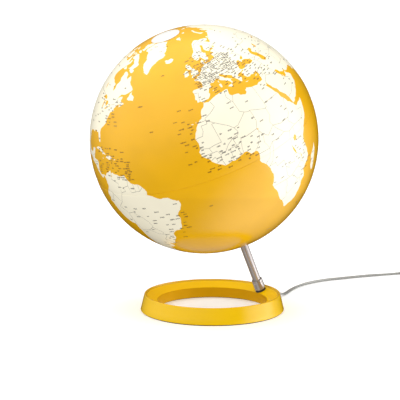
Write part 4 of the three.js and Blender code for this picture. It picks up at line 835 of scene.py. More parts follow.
def map_shell(name, pole, opening):
    """Half of the globe with its map: coasts and borders are edges of the mesh, so they stay crisp."""
    hole = math.degrees(math.asin(opening / GLOBE_RADIUS))
    points, faces, kinds = [], [], []

    def add(outline, kind):
        area = sum(a.x * b.y - a.y * b.x for a, b in zip(outline, outline[1:] + outline[:1]))
        outline = outline if area > 0 else outline[::-1]
        faces.append(list(range(len(points), len(points) + len(outline))))
        points.extend(outline)
        kinds.append(kind)

    def circle(radius, count):
        return [Vector((radius * math.cos(k * math.tau / count), radius * math.sin(k * math.tau / count)))
                for k in range(count)]

    add(circle(90, 180), "half")
    add(circle(hole, 48), "hole")
    for outline in COASTS[pole]:
        add(outline.points, "land")
    for outline in WATERS[pole]:
        add(outline.points, "water")
    for numbers in BORDERS:
        corners = pairs(numbers)
        for start, end in zip(corners, corners[1:]):
            count = max(1, round(math.dist(start, end) / 2.5))
            steps = [tuple(a + (b - a) * k / count for a, b in zip(start, end)) for k in range(count + 1)]
            for first, second in zip(steps, steps[1:]):
                if pole * first[1] > -4:
                    add(bar(first, second, LINE_WIDTH / 2, pole), "border")
    for first, second, half_height, land in NOTES:
        if 2 < pole * first[1] < 90 - hole - 4:
            add(bar(first, second, half_height, pole), "land note" if land else "sea note")
    for row in range(1, MESH_ROWS):
        away = 90 * row / MESH_ROWS
        if away > hole + 1:
            points.extend(circle(away, max(12, round(4 * MESH_ROWS * math.sin(math.radians(away))))))

    spots, _, cells, _, _, origins = delaunay_2d_cdt(points, [], faces, 0, 1e-5)
    kept, slots = [], []
    for cell, parents in zip(cells, origins):
        under = {kinds[parent] for parent in parents}
        if "half" not in under or "hole" in under:
            continue
        land = "land" in under and "water" not in under
        slot = LAND if land else SEA
        if "border" in under and land:
            slot = BORDER
        if "land note" in under or "sea note" in under:
            slot = LAND_NOTE if land else SEA_NOTE
        kept.append(cell)
        slots.append(slot)

    outer = [(math.radians(spot.length), math.atan2(spot.y, spot.x)) for spot in spots]
    used = sorted({corner for cell in kept for corner in cell})
    number = {old: new for new, old in enumerate(used)}
    placed = [globe_normal(*outer[old], pole) for old in used]
    corners = [Vector((p.x, p.y, pole * max(pole * p.z, SEAM_GAP))) for p, _ in placed]
    cells = [tuple(number[corner] for corner in cell) for cell in kept]
    if pole < 0:
        cells = [cell[::-1] for cell in cells]
    mesh = bpy.data.meshes.new(name)
    mesh.from_pydata(corners, [], cells)
    for face, slot in zip(mesh.polygons, slots):
        face.material_index = slot
    shell = bpy.data.objects.new(name, mesh)
    bpy.context.scene.collection.objects.link(shell)
    for finish in (FINISHES[key] for key in ("sea", "land", "border", "sea_note", "land_note", "shell_inside")):
        mesh.materials.append(finish)
    activate(shell)
    modify(shell, "SOLIDIFY", thickness=SHELL_WALL, offset=-1, material_offset=BARE)
    facing = []
    for face in mesh.polygons:
        face.use_smooth = True
        for corner in face.vertices:
            spot = mesh.vertices[corner].co
            skin = spot.length > GLOBE_RADIUS - SHELL_WALL / 2
            if face.normal.dot(spot.normalized()) > 0.7 and skin:
                away = math.acos(max(-1, min(1, pole * spot.z / spot.length)))
                facing.append(globe_normal(away, math.atan2(spot.y, spot.x), pole)[1])
            elif face.normal.dot(spot.normalized()) < -0.7:
                facing.append(-spot.normalized())
            else:
                facing.append(face.normal)
    mesh.transform(AXIS_FRAME)
    turn = AXIS_FRAME.to_3x3()
    mesh.normals_split_custom_set([turn @ Vector(normal) for normal in facing])
    return shell


# ---------------------------------------------------------------- the cord

def cord_route():
    """Centreline points from the strain relief to the plug, each with the flat cord's roll in degrees."""
    route = []
    for along, spot in enumerate(LEAD_ROUTE):
        lean = LEAD_ROLL * ramp((along - 5) / 3) * ramp((len(LEAD_ROUTE) - 3 - along) / 3)
        lift = (CORD_WIDTH - CORD_THICKNESS) / 2 * math.sin(math.radians(lean))
        route.append((Vector(spot) * MM + lift * UP, lean))
    for back, roll in ((1, 84.0), (2, 62.0), (3, 30.0), (4, 8.0)):    # up on its edge as it reaches the coil
        route[-back] = (route[-back][0], roll)
    turns, start, climb = 4.0, 70.0, 0.28       # turns in the lower layer, its first angle, turns of the step up
    whole = (start - COIL_LEAVES - 90) / 360 + 8    # turns in both layers, to where the cord leaves
    steps = round(whole * COIL_STEPS)
    for k in range(steps + 1):
        done = whole * k / steps
        rise = ramp((done - turns) / climb)
        inward = min(1.0, done / turns)
        if done >= turns + climb:
            inward = 1 - (done - turns - climb) / (whole - turns - climb)
        radius = COIL_OUTER_TURN + (COIL_INNER_TURN - COIL_OUTER_TURN) * inward
        height = COIL_LOW + (COIL_HIGH - COIL_LOW) * (3 * rise ** 2 - 2 * rise ** 3)
        spot = COIL_CENTRE + radius * heading(start - 360 * done) + height * UP
        route.append((spot, 90.0))
    ahead = heading(COIL_LEAVES)
    leaves = route[-1][0] - COIL_HIGH * UP
    for away, height, roll in TAIL_ROUTE:
        route.append((leaves + ahead * away * MM + height * MM * UP, float(roll)))
    side = Vector((ahead.y, -ahead.x, 0))
    pivot = leaves + ahead * TAIL_ROUTE[-1][0] * MM + side * PLUG_TURN
    for k, height in enumerate(PLUG_HEIGHTS, 1):
        angle = math.radians((COIL_LEAVES - PLUG_HEADING) * k / len(PLUG_HEIGHTS))
        swing = -side * math.cos(angle) + ahead * math.sin(angle)
        route.append((pivot + PLUG_TURN * swing + height * MM * UP, 0.0))
    return route


def smooth_route(route, spacing):
    """The route as evenly dense points on one curve through all of its points."""
    curve = []
    spots = [route[0]] + route + [route[-1]]
    for (a, _), (b, roll_b), (c, roll_c), (d, _) in zip(spots, spots[1:], spots[2:], spots[3:]):
        count = max(1, round((c - b).length / spacing))
        for k in range(count):
            t = k / count
            curve.append(((b * 2 + (c - a) * t + (a * 2 - b * 5 + c * 4 - d) * t * t
                           + (b * 3 - a - c * 3 + d) * t ** 3) / 2, roll_b + (roll_c - roll_b) * t))
    curve.append(route[-1])
    return curve


def add_cord():
    curve = smooth_route(cord_route(), spacing=0.003)
    path = [spot for spot, _ in curve]
    core = CORD_THICKNESS / 2
    apart = (CORD_WIDTH - CORD_THICKNESS) / 2
    valley = math.degrees(math.acos(-apart / core)) - 4
    lobe = [math.radians(-valley + 2 * valley * k / 8) for k in range(9)]
    section = ([(-apart - core * math.cos(a), core * math.sin(a)) for a in lobe]
               + [(apart + core * math.cos(a), -core * math.sin(a)) for a in lobe])

    def corners(k):
        along = (path[min(k + 1, len(path) - 1)] - path[max(k - 1, 0)]).normalized()
        side = along.cross(UP).normalized()
        lift = side.cross(along)
        roll = math.radians(curve[k][1])
        wide = side * math.cos(roll) + lift * math.sin(roll)
        thin = lift * math.cos(roll) - side * math.sin(roll)
        return [path[k] + wide * x + thin * y for x, y in section]

    cord = swept("twin_cord", path, corners)
    lengthwise = cord.data.uv_layers.new(name="along")
    run, sides = [0.0], len(section)
    for first, second in zip(path, path[1:]):
        run.append(run[-1] + (second - first).length)
    for face in cord.data.polygons:
        for loop, corner in zip(face.loop_indices, face.vertices):
            around = (corner % sides) / sides
            if around == 0 and any(other % sides == sides - 1 for other in face.vertices):
                around = 1.0
            lengthwise.data[loop].uv = (run[corner // sides] * 100, around)
    settled(cord, Matrix(), "clear_cord", "stand",
            ("cord_lead", "cord_coil", "cord_coil_tail", "cord_plug_tail"), smooth=60)
    return cord, path


def add_coil_tie():
    """The thin strap round the coil's windings, with its two twisted ends."""
    inner, outer, under, top = 0.0183, 0.0355, 0.0004, 0.0118
    out = heading(TIE_PLACE)
    along = Vector((-out.y, out.x, 0))
    corners = [(inner, under, 180, 270), (outer, under, 270, 360), (outer, top, 0, 90), (inner, top, 90, 180)]
    loop, tails = [], []
    round_off = 0.0028
    for radius, height, start, end in corners:
        centre = (radius + (round_off if radius == inner else -round_off),
                  height + (round_off if height < top else -round_off))
        loop += arc(centre, round_off, start, end, 6)
    strip = swept("coil_tie", loop, lambda k: [
        COIL_CENTRE + out * (loop[k][0] + dx) + UP * (loop[k][1] + dz) + along * dy
        for dx, dz, dy in tie_section(loop[k], (inner + outer) / 2, top / 2)], closed=True)
    for sign in (1, -1):
        tail = [COIL_CENTRE + out * (outer + 0.0003 + 0.0002 * sign) + UP * (0.0075)
                + along * sign * (0.0025 + 0.004 * k) + out * 0.0016 * k + UP * 0.0006 * k * k * sign
                for k in range(4)]
        piece = swept("tie_end_%d" % (1 if sign > 0 else 2), tail, lambda k: [
            tail[k] + UP * x * 0.0016 + out * y * 0.00022 for x, y in ((-1, -1), (1, -1), (1, 1), (-1, 1))])
        tails.append(settled(piece, Matrix(), "tie_plastic", "stand"))
    return settled(strip, Matrix(), "tie_plastic", "stand"), *tails


def tie_section(spot, middle, half_height):
    """Four corners of the strap, a quarter of a millimetre thick and 4 mm wide, about a point of its loop."""
    lean = Vector((spot[0] - middle, (spot[1] - half_height) * 1.4)).normalized() * 0.00025
    return [(0, 0, -0.002), (0, 0, 0.002), (-lean.x, -lean.y, 0.002), (-lean.x, -lean.y, -0.002)]


# ---------------------------------------------------------------- base

def outer_wall(height):
    return RING_OUTER - (RING_OUTER - RING_RIM) * height / RING_HEIGHT


def sloping_top(radius):
    return RING_RIDGE + (radius - RING_INNER) * math.tan(TILT)


def add_ring():
    lip = 0.0011
    rim = RING_RIM - lip
    rim_height = RING_HEIGHT - lip
    wall = 0.0024
    outline = arc((outer_wall(RING_FOOT) - 0.0006, RING_FOOT + 0.0006), 0.0006, -90, 8, 3)
    outline += [(outer_wall(0.008), 0.008), (outer_wall(0.015), 0.015)]
    outline += arc((rim, rim_height), lip, 6, 168, 9)
    outline += [(rim - lip - 0.0003, sloping_top(rim - lip - 0.0003) + 0.0002),
                (rim - lip - 0.0012, sloping_top(rim - lip - 0.0012))]
    outline += [(radius, sloping_top(radius)) for radius in (0.0845, 0.079, 0.0746)]
    outline += arc((RING_INNER + 0.0009, sloping_top(RING_INNER) - 0.0007), 0.0009, 104, 180, 4)
    outline += [(RING_INNER - 0.0004, 0.007), (RING_INNER - 0.0008, RING_FOOT)]
    outline += [(RING_INNER + wall, RING_FOOT), (RING_INNER + wall, 0.011), (0.0865, 0.0165),
                (outer_wall(0.0165) - wall, 0.0165), (outer_wall(RING_FOOT) - wall, RING_FOOT)]
    ring = turned("ring_base", outline, 160)
    settled(ring, RING_FRAME, "yellow_enamel", "stand", ("base_ring",), smooth=28)
    # Two extra copies of the enamel: a darker one for the bore, as painted shade in the ring's hole, and a lighter
    # one for the sloping top, as painted light.
    for finish in ("enamel_bore_painted_shade", "enamel_slope_painted_light"):
        ring.data.materials.append(FINISHES[finish])
    outer, bore, slope = range(3)
    for face in ring.data.polygons:
        radius = math.hypot(face.center.x - RING_CENTRE, face.center.y)
        # Faces of the bore take the darker enamel copy: painted shade.
        if radius < RING_INNER + 0.0002 and face.center.z > 0.002:
            face.material_index = bore
        # Faces of the sloping top take the lighter enamel copy: painted light.
        elif face.normal.z > 0.8 and RING_RIDGE - 0.0002 < face.center.z and radius < RING_RIM - 0.003:
            face.material_index = slope
        else:
            face.material_index = outer
    return ring


def add_foot_pad():
    pad = turned("foot_pad", [(0.0747, 0.0), (0.0745, 0.0003), (0.0745, 0.0009), (0.094, 0.0009), (0.094, 0.0003),
                              (0.0938, 0.0)], 120)
    return settled(pad, RING_FRAME, "foam", "stand", ("foot_ring",))


# ---------------------------------------------------------------- tube and ferrule, about the tilted axis

def add_tube():
    bore = 0.0043
    outline = [(TUBE_RADIUS, SEAT + 0.001), (TUBE_RADIUS, SEAT + 0.05), (TUBE_RADIUS, -0.15),
               (TUBE_RADIUS, TUBE_TOP - 0.0004), (TUBE_RADIUS - 0.0004, TUBE_TOP), (bore, TUBE_TOP),
               (bore, SEAT + 0.001)]
    tube = turned("support_rod", outline, 64)
    return settled(tube, AXIS_FRAME, "chrome", "stand", ("support_tube",), smooth=30)


def add_ferrule():
    low, high = SEAT + 0.0029, SEAT + 0.0172
    radius, soft = 0.00725, 0.0006
    outline = arc((radius - soft, low + soft), soft, -90, 0, 4)
    outline += [(radius, low + 0.0022), (radius - 0.0002, low + 0.0024), (radius - 0.0002, low + 0.0029),
                (radius, low + 0.0031), (radius, high - 0.0042), (radius - 0.00035, high - 0.0038),
                (radius - 0.00035, high - 0.0030), (radius, high - 0.0026)]
    outline += arc((radius - soft, high - soft), soft, 0, 90, 4)
    outline += [(TUBE_RADIUS + 0.0007, high), (TUBE_RADIUS + 0.0004, high - 0.0004), (TUBE_RADIUS + 0.0003, low)]
    ferrule = turned("rod_ferrule", outline, 64)
    return settled(ferrule, AXIS_FRAME, "chrome", "stand", ("ferrule",), smooth=30)


def add_seat_washer():
    outline = [(0.0059, SEAT + 0.0003), (0.0059, SEAT + 0.0027), (0.0067, SEAT + 0.0027), (0.0069, SEAT + 0.0025),
               (0.0072, SEAT + 0.0003)]
    washer = turned("seat_gasket", outline, 48)
    return settled(washer, AXIS_FRAME, "dark_rubber", "stand", ("seat_washer",))


# ---------------------------------------------------------------- globe fittings

def add_pole_cap():
    """The white disc over the pole: a thin dome that follows the globe, with a rolled edge."""
    cap_radius, under, over = 0.019, 0.15025, 0.1511
    edge = math.asin(cap_radius / over)
    places = [(under, k / 8) for k in range(1, 9)] + [(under + 0.0003, 1.008), (over - 0.0002, 1.005), (over, 0.985)]
    places += [(over, k / 8) for k in range(7, 0, -1)]
    outline = [(radius * math.sin(edge * share), radius * math.cos(edge * share)) for radius, share in places]
    cap = turned("pole_disc", outline, 96, ring=False)
    return settled(cap, AXIS_FRAME, "cap_white", "globe", ("north_cap",), smooth=40)


def add_globe():
    for name, pole, opening, node in (("map_north", 1, NORTH_OPENING, "north_hemisphere"),
                                      ("map_south", -1, SOUTH_OPENING, "south_hemisphere")):
        shell = map_shell(name, pole, opening)
        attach(shell, "globe")
        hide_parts(node)


# ---------------------------------------------------------------- strain relief, switch and plug

SCREW_PLACES = ((0.019, -0.0068), (-0.019, 0.0068))
ROCKER_PIVOT = Vector((0, 0, 0.0108))
ROCKER_TILT = math.radians(7)
ROCKER_HOLE = 0.0009
SCREW_HOLE, SCREW_HEAD = 0.0017, 0.0029
PIN_HEIGHT, PIN_APART = 0.0067, 0.0186


def prism(name, outline, bottom, top):
    """A slab with this outline, drawn up from bottom to top."""
    clear_selection()
    bpy.ops.mesh.primitive_circle_add(vertices=len(outline), radius=1, fill_type="NGON", location=(0, 0, 0))
    piece = named(name)
    for corner, (x, y) in zip(piece.data.vertices, outline):
        corner.co = (x, y, bottom)
    bpy.ops.object.mode_set(mode="EDIT")
    bpy.ops.mesh.select_all(action="SELECT")
    bpy.ops.mesh.extrude_region_move(TRANSFORM_OT_translate={"value": (0, 0, top - bottom)})
    bpy.ops.mesh.select_all(action="SELECT")
    bpy.ops.mesh.normals_make_consistent(inside=False)
    bpy.ops.mesh.select_all(action="DESELECT")
    bpy.ops.object.mode_set(mode="OBJECT")
    return piece


def block(low, high):
    (x0, y0, bottom), (x1, y1, top) = low, high
    return prism("cutter", [(x0, y0), (x1, y0), (x1, y1), (x0, y1)], bottom, top)


def pocket(length, width, bottom, top):
    """A cutter for a hollow in the middle of the switch."""
    return block((-length / 2, -width / 2, bottom), (length / 2, width / 2, top))


def post(x, y, radius, bottom, top):
    return prism("cutter", arc((x, y), radius, 0, 345, 23), bottom, top)


def rod(place, radius, length, turn):
    """A cutter for a lying hole, its middle at place."""
    clear_selection()
    bpy.ops.mesh.primitive_cylinder_add(vertices=24, radius=radius, depth=length, location=place, rotation=turn)
    return named("cutter")


def cut_away(piece, *cutters):
    for cutter in cutters:
        modify(piece, "BOOLEAN", operation="DIFFERENCE", solver="EXACT", object=cutter)
        bpy.data.objects.remove(cutter)


def soften_rim(piece, side, width):
    """Rounds the rim of a slab's upper face (side 1) or lower face (side -1)."""
    activate(piece)
    bpy.ops.object.mode_set(mode="EDIT")
    bpy.ops.mesh.select_mode(type="FACE")
    bpy.ops.mesh.select_all(action="DESELECT")
    bpy.ops.object.mode_set(mode="OBJECT")
    for face in piece.data.polygons:
        face.select = face.normal.z * side > 0.9
    bpy.ops.object.mode_set(mode="EDIT")
    bpy.ops.mesh.bevel(offset=width, segments=4, affect="EDGES")
    bpy.ops.mesh.select_mode(type="VERT")
    bpy.ops.object.mode_set(mode="OBJECT")


def rounded_outline(length, width, radius):
    x, y = length / 2 - radius, width / 2 - radius
    return [spot for cx, cy, start in ((x, y, 0), (-x, y, 90), (-x, -y, 180), (x, -y, 270))
            for spot in arc((cx, cy), radius, start, start + 90, 8)]


def add_switch():
    """Two shells with the cord's passage and the screws' holes through them, and the rocker in its window."""
    parting = 0.00015                            # half the gap between the two shells
    rim = rounded_outline(SWITCH_LENGTH, SWITCH_WIDTH, 0.009)
    lower = prism("switch_base", rim, 0.0002, CORD_ENTRY - parting)
    soften_rim(lower, -1, 0.0012)
    upper = prism("switch_lid", rim, CORD_ENTRY + parting, SWITCH_HEIGHT)
    soften_rim(upper, 1, 0.0024)
    for half, low, high in ((lower, 0.0018, 0.008), (upper, 0.004, 0.0124)):
        chamber = pocket(0.030, 0.010, low, high)
        passage = pocket(0.062, 0.0058, CORD_ENTRY - 0.0018, CORD_ENTRY + 0.0018)
        cut_away(half, chamber, passage, *(post(x, y, SCREW_HOLE, -0.001, 0.0118) for x, y in SCREW_PLACES))
    cut_away(lower, *(post(x, y, SCREW_HEAD, -0.001, 0.0014) for x, y in SCREW_PLACES))
    cut_away(upper, pocket(0.0182, 0.0098, 0.012, 0.016),
             rod(ROCKER_PIVOT, ROCKER_HOLE, 0.0136, (math.pi / 2, 0, 0)))
    settled(lower, SWITCH_FRAME, "white_plastic", "stand", ("switch_lower_half",), smooth=30)
    settled(upper, SWITCH_FRAME, "white_plastic", "stand", ("switch_upper_half",), smooth=30)
    hollow = [(x * MM, (3 + 1.2 * (x / 7) ** 2) * MM) for x in range(7, -8, -1)]
    outline = [(-0.0025, -0.0042), (0.0025, -0.0042), (0.0075, 0.0), (0.0075, 0.0041), *hollow, (-0.0075, 0.0041),
               (-0.0075, 0.0)]
    rocker = prism("switch_key", outline, -0.0045, 0.0045)
    modify(rocker, "BEVEL", width=0.0004, segments=3, limit_method="ANGLE", angle_limit=math.radians(40))
    cut_away(rocker, rod((0, 0, 0), ROCKER_HOLE, 0.012, (0, 0, 0)))
    settled(rocker, SWITCH_FRAME @ Matrix.Translation(ROCKER_PIVOT) @ Matrix.Rotation(ROCKER_TILT, 4, "Y")
            @ Matrix.Rotation(math.pi / 2, 4, "X"), "dark_plastic", "rocker", ("switch_rocker",),
            smooth=30)
    return lower, upper, rocker


def add_plug():
    """The flat shell with its grip grooves, and the two prongs."""
    side = [(0.0003, 0.0042), (0.017, 0.0050), (0.0200, 0.0066), (0.0230, 0.0100), (0.0260, 0.0138), (0.0290, 0.0163),
            (0.0320, 0.0172), (0.040, 0.0172)]
    shell = prism("plug_shell", [(x, -y) for x, y in side] + side[::-1], 0.0002, 2 * PIN_HEIGHT)
    modify(shell, "BEVEL", width=0.0022, segments=4, limit_method="ANGLE", angle_limit=math.radians(50))
    for k in range(4):
        start = 0.004 + 0.003 * k
        cut_away(shell, block((start, -0.01, 0.0128), (start + 0.0013, 0.01, 0.015)),
                 block((start, -0.01, -0.001), (start + 0.0013, 0.01, 0.0008)))
    pins = []
    for number, sign in ((1, -1), (2, 1)):
        cut_away(shell, rod((0.0365, sign * PIN_APART / 2, PIN_HEIGHT), 0.0021, 0.009, (0, math.pi / 2, 0)))
        pin = turned("plug_prong_%d" % number, [(0.0020, 0.0323), (0.0020, 0.0500), (0.00185, 0.0501),
                                                (0.00185, 0.0578), (0.0016, 0.0585), (0.0011, 0.0589),
                                                (0.0005, 0.0590)], 32, ring=False)
        pins.append(settled(pin, PLUG_FRAME @ Matrix.Translation((0, sign * PIN_APART / 2, PIN_HEIGHT))
                            @ Matrix.Rotation(math.pi / 2, 4, "Y"), "brass", "stand",
                            ("plug_pin_%d" % number,), smooth=30))
    settled(shell, PLUG_FRAME, "white_plastic", "stand", ("plug_body",), smooth=30)
    return shell, *pins


def add_strain_relief():
    """The flattened bush in the ring's wall, with a ribbed tail round the cord."""
    outline = [(0.0042, -0.0056), (0.0042, -0.0036), (0.0029, -0.0036), (0.0029, 0.0005), (0.0040, 0.0005),
               (0.0042, 0.0008), (0.0042, 0.0022), (0.0039, 0.0028)]
    for k in range(5):
        start = 0.0045 + 0.003 * k
        radius = 0.0039 - 0.00016 * k
        outline += [(radius, start), (radius - 0.0006, start + 0.0002), (radius - 0.0006, start + 0.0012),
                    (radius, start + 0.0014)]
    outline += [(0.0031, 0.0195), (0.0028, 0.0200)]
    bush = turned("cord_bush", outline, 48, ring=False)
    reach = outer_wall(RELIEF_TIP.z)
    place = Vector((RING_CENTRE, 0, RELIEF_TIP.z)) + reach * heading(RELIEF_PLACE)
    settled(bush, Matrix.Translation(place) @ Matrix.Rotation(math.radians(RELIEF_HEADING), 4, "Z")
            @ Matrix.Diagonal((1, 1, RELIEF_FLATTEN, 1)) @ Matrix.Rotation(math.pi / 2, 4, "Y"), "grey_pvc", "stand",
            ("strain_relief",), smooth=30)


# ---------------------------------------------------------------- finishes

def make_finishes():
    SUN = (0.83, 0.435, 0.003)
    CREAM = (0.95, 0.885, 0.69)
    made = {
        "sea": lacquer("sea_print", SUN, 0.16, 0.95),
        "land": lacquer("land_print", CREAM, 0.22, 0.97),
        "border": lacquer("border_ink", (0.24, 0.22, 0.17), 0.25, 0.8),
        "sea_note": lacquer("sea_note_ink", (0.17, 0.055, 0.004), 0.25, 0.85),
        "land_note": lacquer("land_note_ink", (0.055, 0.05, 0.045), 0.25, 0.85),
        "shell_inside": moulded("shell_inside", (0.82, 0.80, 0.74), 0.55, 0.3, Subsurface_Weight=0.1),
        "yellow_enamel": lacquer("yellow_enamel", (0.80, 0.485, 0.002), 0.12, 0.97, 40,
                                 Specular_IOR_Level=0.34),
        # A darker copy of the ring's enamel for the bore: painted shade.
        "enamel_bore_painted_shade": lacquer("enamel_bore_painted_shade", (0.62, 0.31, 0.001), 0.3, 0.95, 40, Specular_IOR_Level=0.05),
        # A lighter copy of the ring's enamel for the sloping top: painted light.
        "enamel_slope_painted_light": lacquer("enamel_slope_painted_light", (0.98, 0.61, 0.001), 0.3, 0.98, 40, Specular_IOR_Level=0.05),
        # The chrome's lengthwise streaks and pink tone are partly painted reflection bands.
        "chrome": metal("polished_chrome", (0.54, 0.505, 0.495), 0.22, (1, 1, 0.02), 0.6, metallic=0.6),
        "cap_white": moulded("cap_white", (0.86, 0.85, 0.80), 0.30, 0.15, Coat_Weight=0.3),
        "foam": moulded("foot_foam", (0.035, 0.033, 0.03), 0.9, 0.6),
        "dark_rubber": moulded("dark_rubber", (0.03, 0.03, 0.03), 0.55, 0.3),
        "dark_plastic": moulded("dark_plastic", (0.045, 0.044, 0.043), 0.45, 0.3),
        "white_plastic": moulded("white_plastic", (0.60, 0.60, 0.585), 0.38, 0.2),
        "grey_pvc": moulded("grey_pvc", (0.34, 0.34, 0.32), 0.35, 0.15, Coat_Weight=0.5),
        "tie_plastic": moulded("tie_plastic", (0.70, 0.70, 0.68), 0.5, 0.2),
        "frosted": moulded("frosted_glass", (0.90, 0.89, 0.86), 0.5, 0.1, Subsurface_Weight=0.3),
        "steel": metal("bright_steel", (0.56, 0.56, 0.57), 0.28, (1, 1, 0.05), 0.8),
        "brass": metal("brass", (0.72, 0.52, 0.24), 0.3, (1, 1, 0.1), 0.7),
        "iron": metal("cast_iron", (0.20, 0.20, 0.20), 0.6, (1, 1, 1), 0.7),
        "clear_cord": clear_cord(),
    }
    return {key: finish.material for key, finish in made.items()}


def clear_cord():
    """Clear jacket over two silvery stranded cores: fine strands wind round along the cord."""
    made = Finish("clear_cord", (0.30, 0.30, 0.27), 0.30, Coat_Weight=0.8, Coat_Roughness=0.08)
    along = made.node("ShaderNodeUVMap", {"uv_map": "along"})
    twist = made.node("ShaderNodeMapping", {}, {"Vector": along, "Rotation": (0, 0, 0.5), "Scale": (9, 26, 1)})
    strands = made.node("ShaderNodeTexWave", {"wave_type": "BANDS", "bands_direction": "Y"},
                        {"Vector": twist, "Scale": 1.0, "Distortion": 0.6, "Detail": 1.0})
    cloud = made.grain(130, 3)
    core = made.blend(strands, (0.18, 0.18, 0.16), (0.41, 0.41, 0.38))
    made.set("Base Color", made.blend(cloud.between(0.4, 0.8) * 0.35, core, (0.45, 0.45, 0.41)))
    made.set("Roughness", 0.28 + cloud * 0.08)
    made.bump(strands + cloud * 0.4, 0.12, 0.0002)
    return made


# ---------------------------------------------------------------- studio

ROOM, FILL, BOUNCE = 0.02, 0.55, 0.35   # light from all round, more of it given, and more again from below
CARD = 0.45                             # the glow that the tube mirrors from inside the ring


def add_floor():
    """The pale table, and the card inside the ring that only reflections see."""
    clear_selection()
    bpy.ops.mesh.primitive_plane_add(size=60, location=(0, 0, 0))
    floor = named("floor")
    surface = Finish("pale_floor", (0.86, 0.86, 0.85), 0.7, Emission_Color=(1, 1, 1, 1),
                     Emission_Strength=0.22)
    cloud = surface.grain(3, 2)
    surface.set("Base Color", surface.blend(cloud, (0.87, 0.87, 0.86), (0.85, 0.85, 0.845)))
    surface.set("Roughness", 0.65 + cloud * 0.1)
    floor.data.materials.append(surface.material)
    floor.visible_glossy = floor.visible_diffuse = False
    clear_selection()
    bpy.ops.mesh.primitive_circle_add(vertices=64, radius=0.074, fill_type="NGON", location=(RING_CENTRE, 0, 0.0001))
    card = named("glow_card")
    card.data.materials.append(Finish("glow", (0, 0, 0), 1.0, Emission_Color=(1, 1, 1, 1),
                                      Emission_Strength=CARD).material)
    card.visible_camera = card.visible_diffuse = card.visible_shadow = False


def seen_direction(across, above, towards):
    """A direction given as seen from the camera: to its right, upwards and towards it."""
    right = VIEW.cross(UP).normalized()
    return (right * across + right.cross(VIEW) * above - VIEW * towards).normalized()


# The studio's soft panels: direction, the cosines where each begins and is full, its brightness in
# reflections and the light that it gives.
PANELS = [
    (seen_direction(-0.50, 0.85, 0.10), -0.25, 1.0, 1.40, 1.35),
    (seen_direction(0.78, -0.60, -0.15), 0.40, 0.98, 1.6, 2.3),
    (seen_direction(1.0, 0.12, 0.10), 0.76, 0.97, 2.4, 1.0),
]


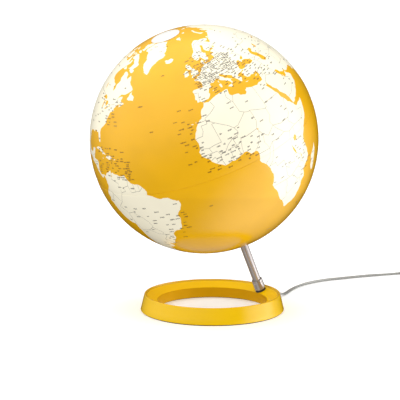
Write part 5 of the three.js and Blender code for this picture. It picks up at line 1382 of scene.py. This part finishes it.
def add_studio():
    """White room for the eye; for the light, broad soft panels in a dim room."""
    world = bpy.data.worlds.new("studio")
    bpy.context.scene.world = world
    world.use_nodes = True
    nodes, links = world.node_tree.nodes, world.node_tree.links

    def node(kind, settings, sockets):
        made = nodes.new(kind)
        for key, value in settings.items():
            setattr(made, key, value)
        for key, value in sockets.items():
            if isinstance(value, bpy.types.NodeSocket):
                links.new(value, made.inputs[key])
            else:
                made.inputs[key].default_value = value
        return made

    def add(first, second, operation="ADD"):
        return node("ShaderNodeMath", {"operation": operation}, {0: first, 1: second}).outputs[0]

    ray = nodes.new("ShaderNodeLightPath")
    gaze = nodes.new("ShaderNodeTexCoord").outputs["Generated"]
    below = node("ShaderNodeVectorMath", {"operation": "DOT_PRODUCT"}, {0: gaze, 1: -UP})
    bounce = node("ShaderNodeMapRange", {}, {
        "Value": below.outputs["Value"], "To Min": FILL, "To Max": FILL + BOUNCE})
    light = add(add(ray.outputs["Is Diffuse Ray"], bounce.outputs[0], "MULTIPLY"), ROOM)
    for towards, begins, full, shown, given in PANELS:
        brightness = node("ShaderNodeMix", {"data_type": "FLOAT"}, {
            0: ray.outputs["Is Diffuse Ray"], 2: shown, 3: given})
        dot = node("ShaderNodeVectorMath", {"operation": "DOT_PRODUCT"}, {0: gaze, 1: towards})
        panel = node("ShaderNodeMapRange", {"interpolation_type": "SMOOTHSTEP"}, {
            "Value": dot.outputs["Value"], "From Min": begins, "From Max": full, "To Max": brightness.outputs[0]})
        light = add(light, panel.outputs[0])
    behind = node("ShaderNodeVectorMath", {"operation": "DOT_PRODUCT"}, {0: gaze, 1: seen_direction(0, 0, 1)})
    open_side = node("ShaderNodeMapRange", {"interpolation_type": "SMOOTHSTEP"}, {
        "Value": behind.outputs["Value"], "From Min": -0.85, "From Max": -0.05, "To Min": 0.30})
    light = add(light, open_side.outputs[0], "MULTIPLY")
    strength = node("ShaderNodeMix", {"data_type": "FLOAT"}, {
        0: ray.outputs["Is Camera Ray"], 2: light, 3: 1.0})
    background = nodes["Background"]
    background.inputs["Color"].default_value = (1, 1, 1, 1)
    links.new(strength.outputs[0], background.inputs["Strength"])
    bpy.context.scene.view_settings.view_transform = "Standard"
    add_top_light()


def add_top_light():
    lamp = bpy.data.lights.new("top_light", "AREA")
    lamp.shape, lamp.size, lamp.size_y, lamp.energy = "RECTANGLE", 1.6, 1.6, 6
    box = bpy.data.objects.new("top_light", lamp)
    box.location = (0.1, 0.1, 2.2)
    box.rotation_euler = (GLOBE_CENTRE - box.location).to_track_quat("-Z", "Y").to_euler()
    box.visible_camera = box.visible_glossy = False
    bpy.context.scene.collection.objects.link(box)


# The CAD nodes that keep their own shape, under the finish of each. Its name is that of the slot too.
NODE_FINISHES = {
    "steel": ("plate_screw_1", "plate_screw_2", "plate_screw_3", "collar_screw", "retaining_clip", "threaded_nipple",
              "lock_washer", "tube_nut", "switch_screw_1", "switch_screw_2", "rocker_pin", "bearing_collar"),
    "brass": ("holder_contact", "bulb_screw_cap", "switch_contact_1", "switch_contact_2", "cap_nut"),
    "iron": ("ballast_weight",),
    "dark_plastic": ("bottom_plate", "bearing_bush"),
    "white_plastic": ("equator_band", "lamp_holder", "bulb_body", "south_ring", "south_plate", "inner_lead"),
    "frosted": ("bulb_diffuser",),
}


def dress_nodes():
    """Gives the pieces that stay as they were built their finishes and slots."""
    for finish, nodes in NODE_FINISHES.items():
        for node in nodes:
            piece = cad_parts[node]
            piece.data.materials.clear()
            piece.data.materials.append(FINISHES[finish])


# ---------------------------------------------------------------- build

add_camera()
FINISHES = make_finishes()
cord, cord_path = add_cord()
tie_pieces = add_coil_tie()
switch_pieces = add_switch()
plug_pieces = add_plug()
[tuple(spot) for spot in cord_path]
add_floor()
add_studio()
add_ring()
add_strain_relief()
add_foot_pad()
add_tube()
add_ferrule()
add_seat_washer()
add_pole_cap()
add_globe()
dress_nodes()
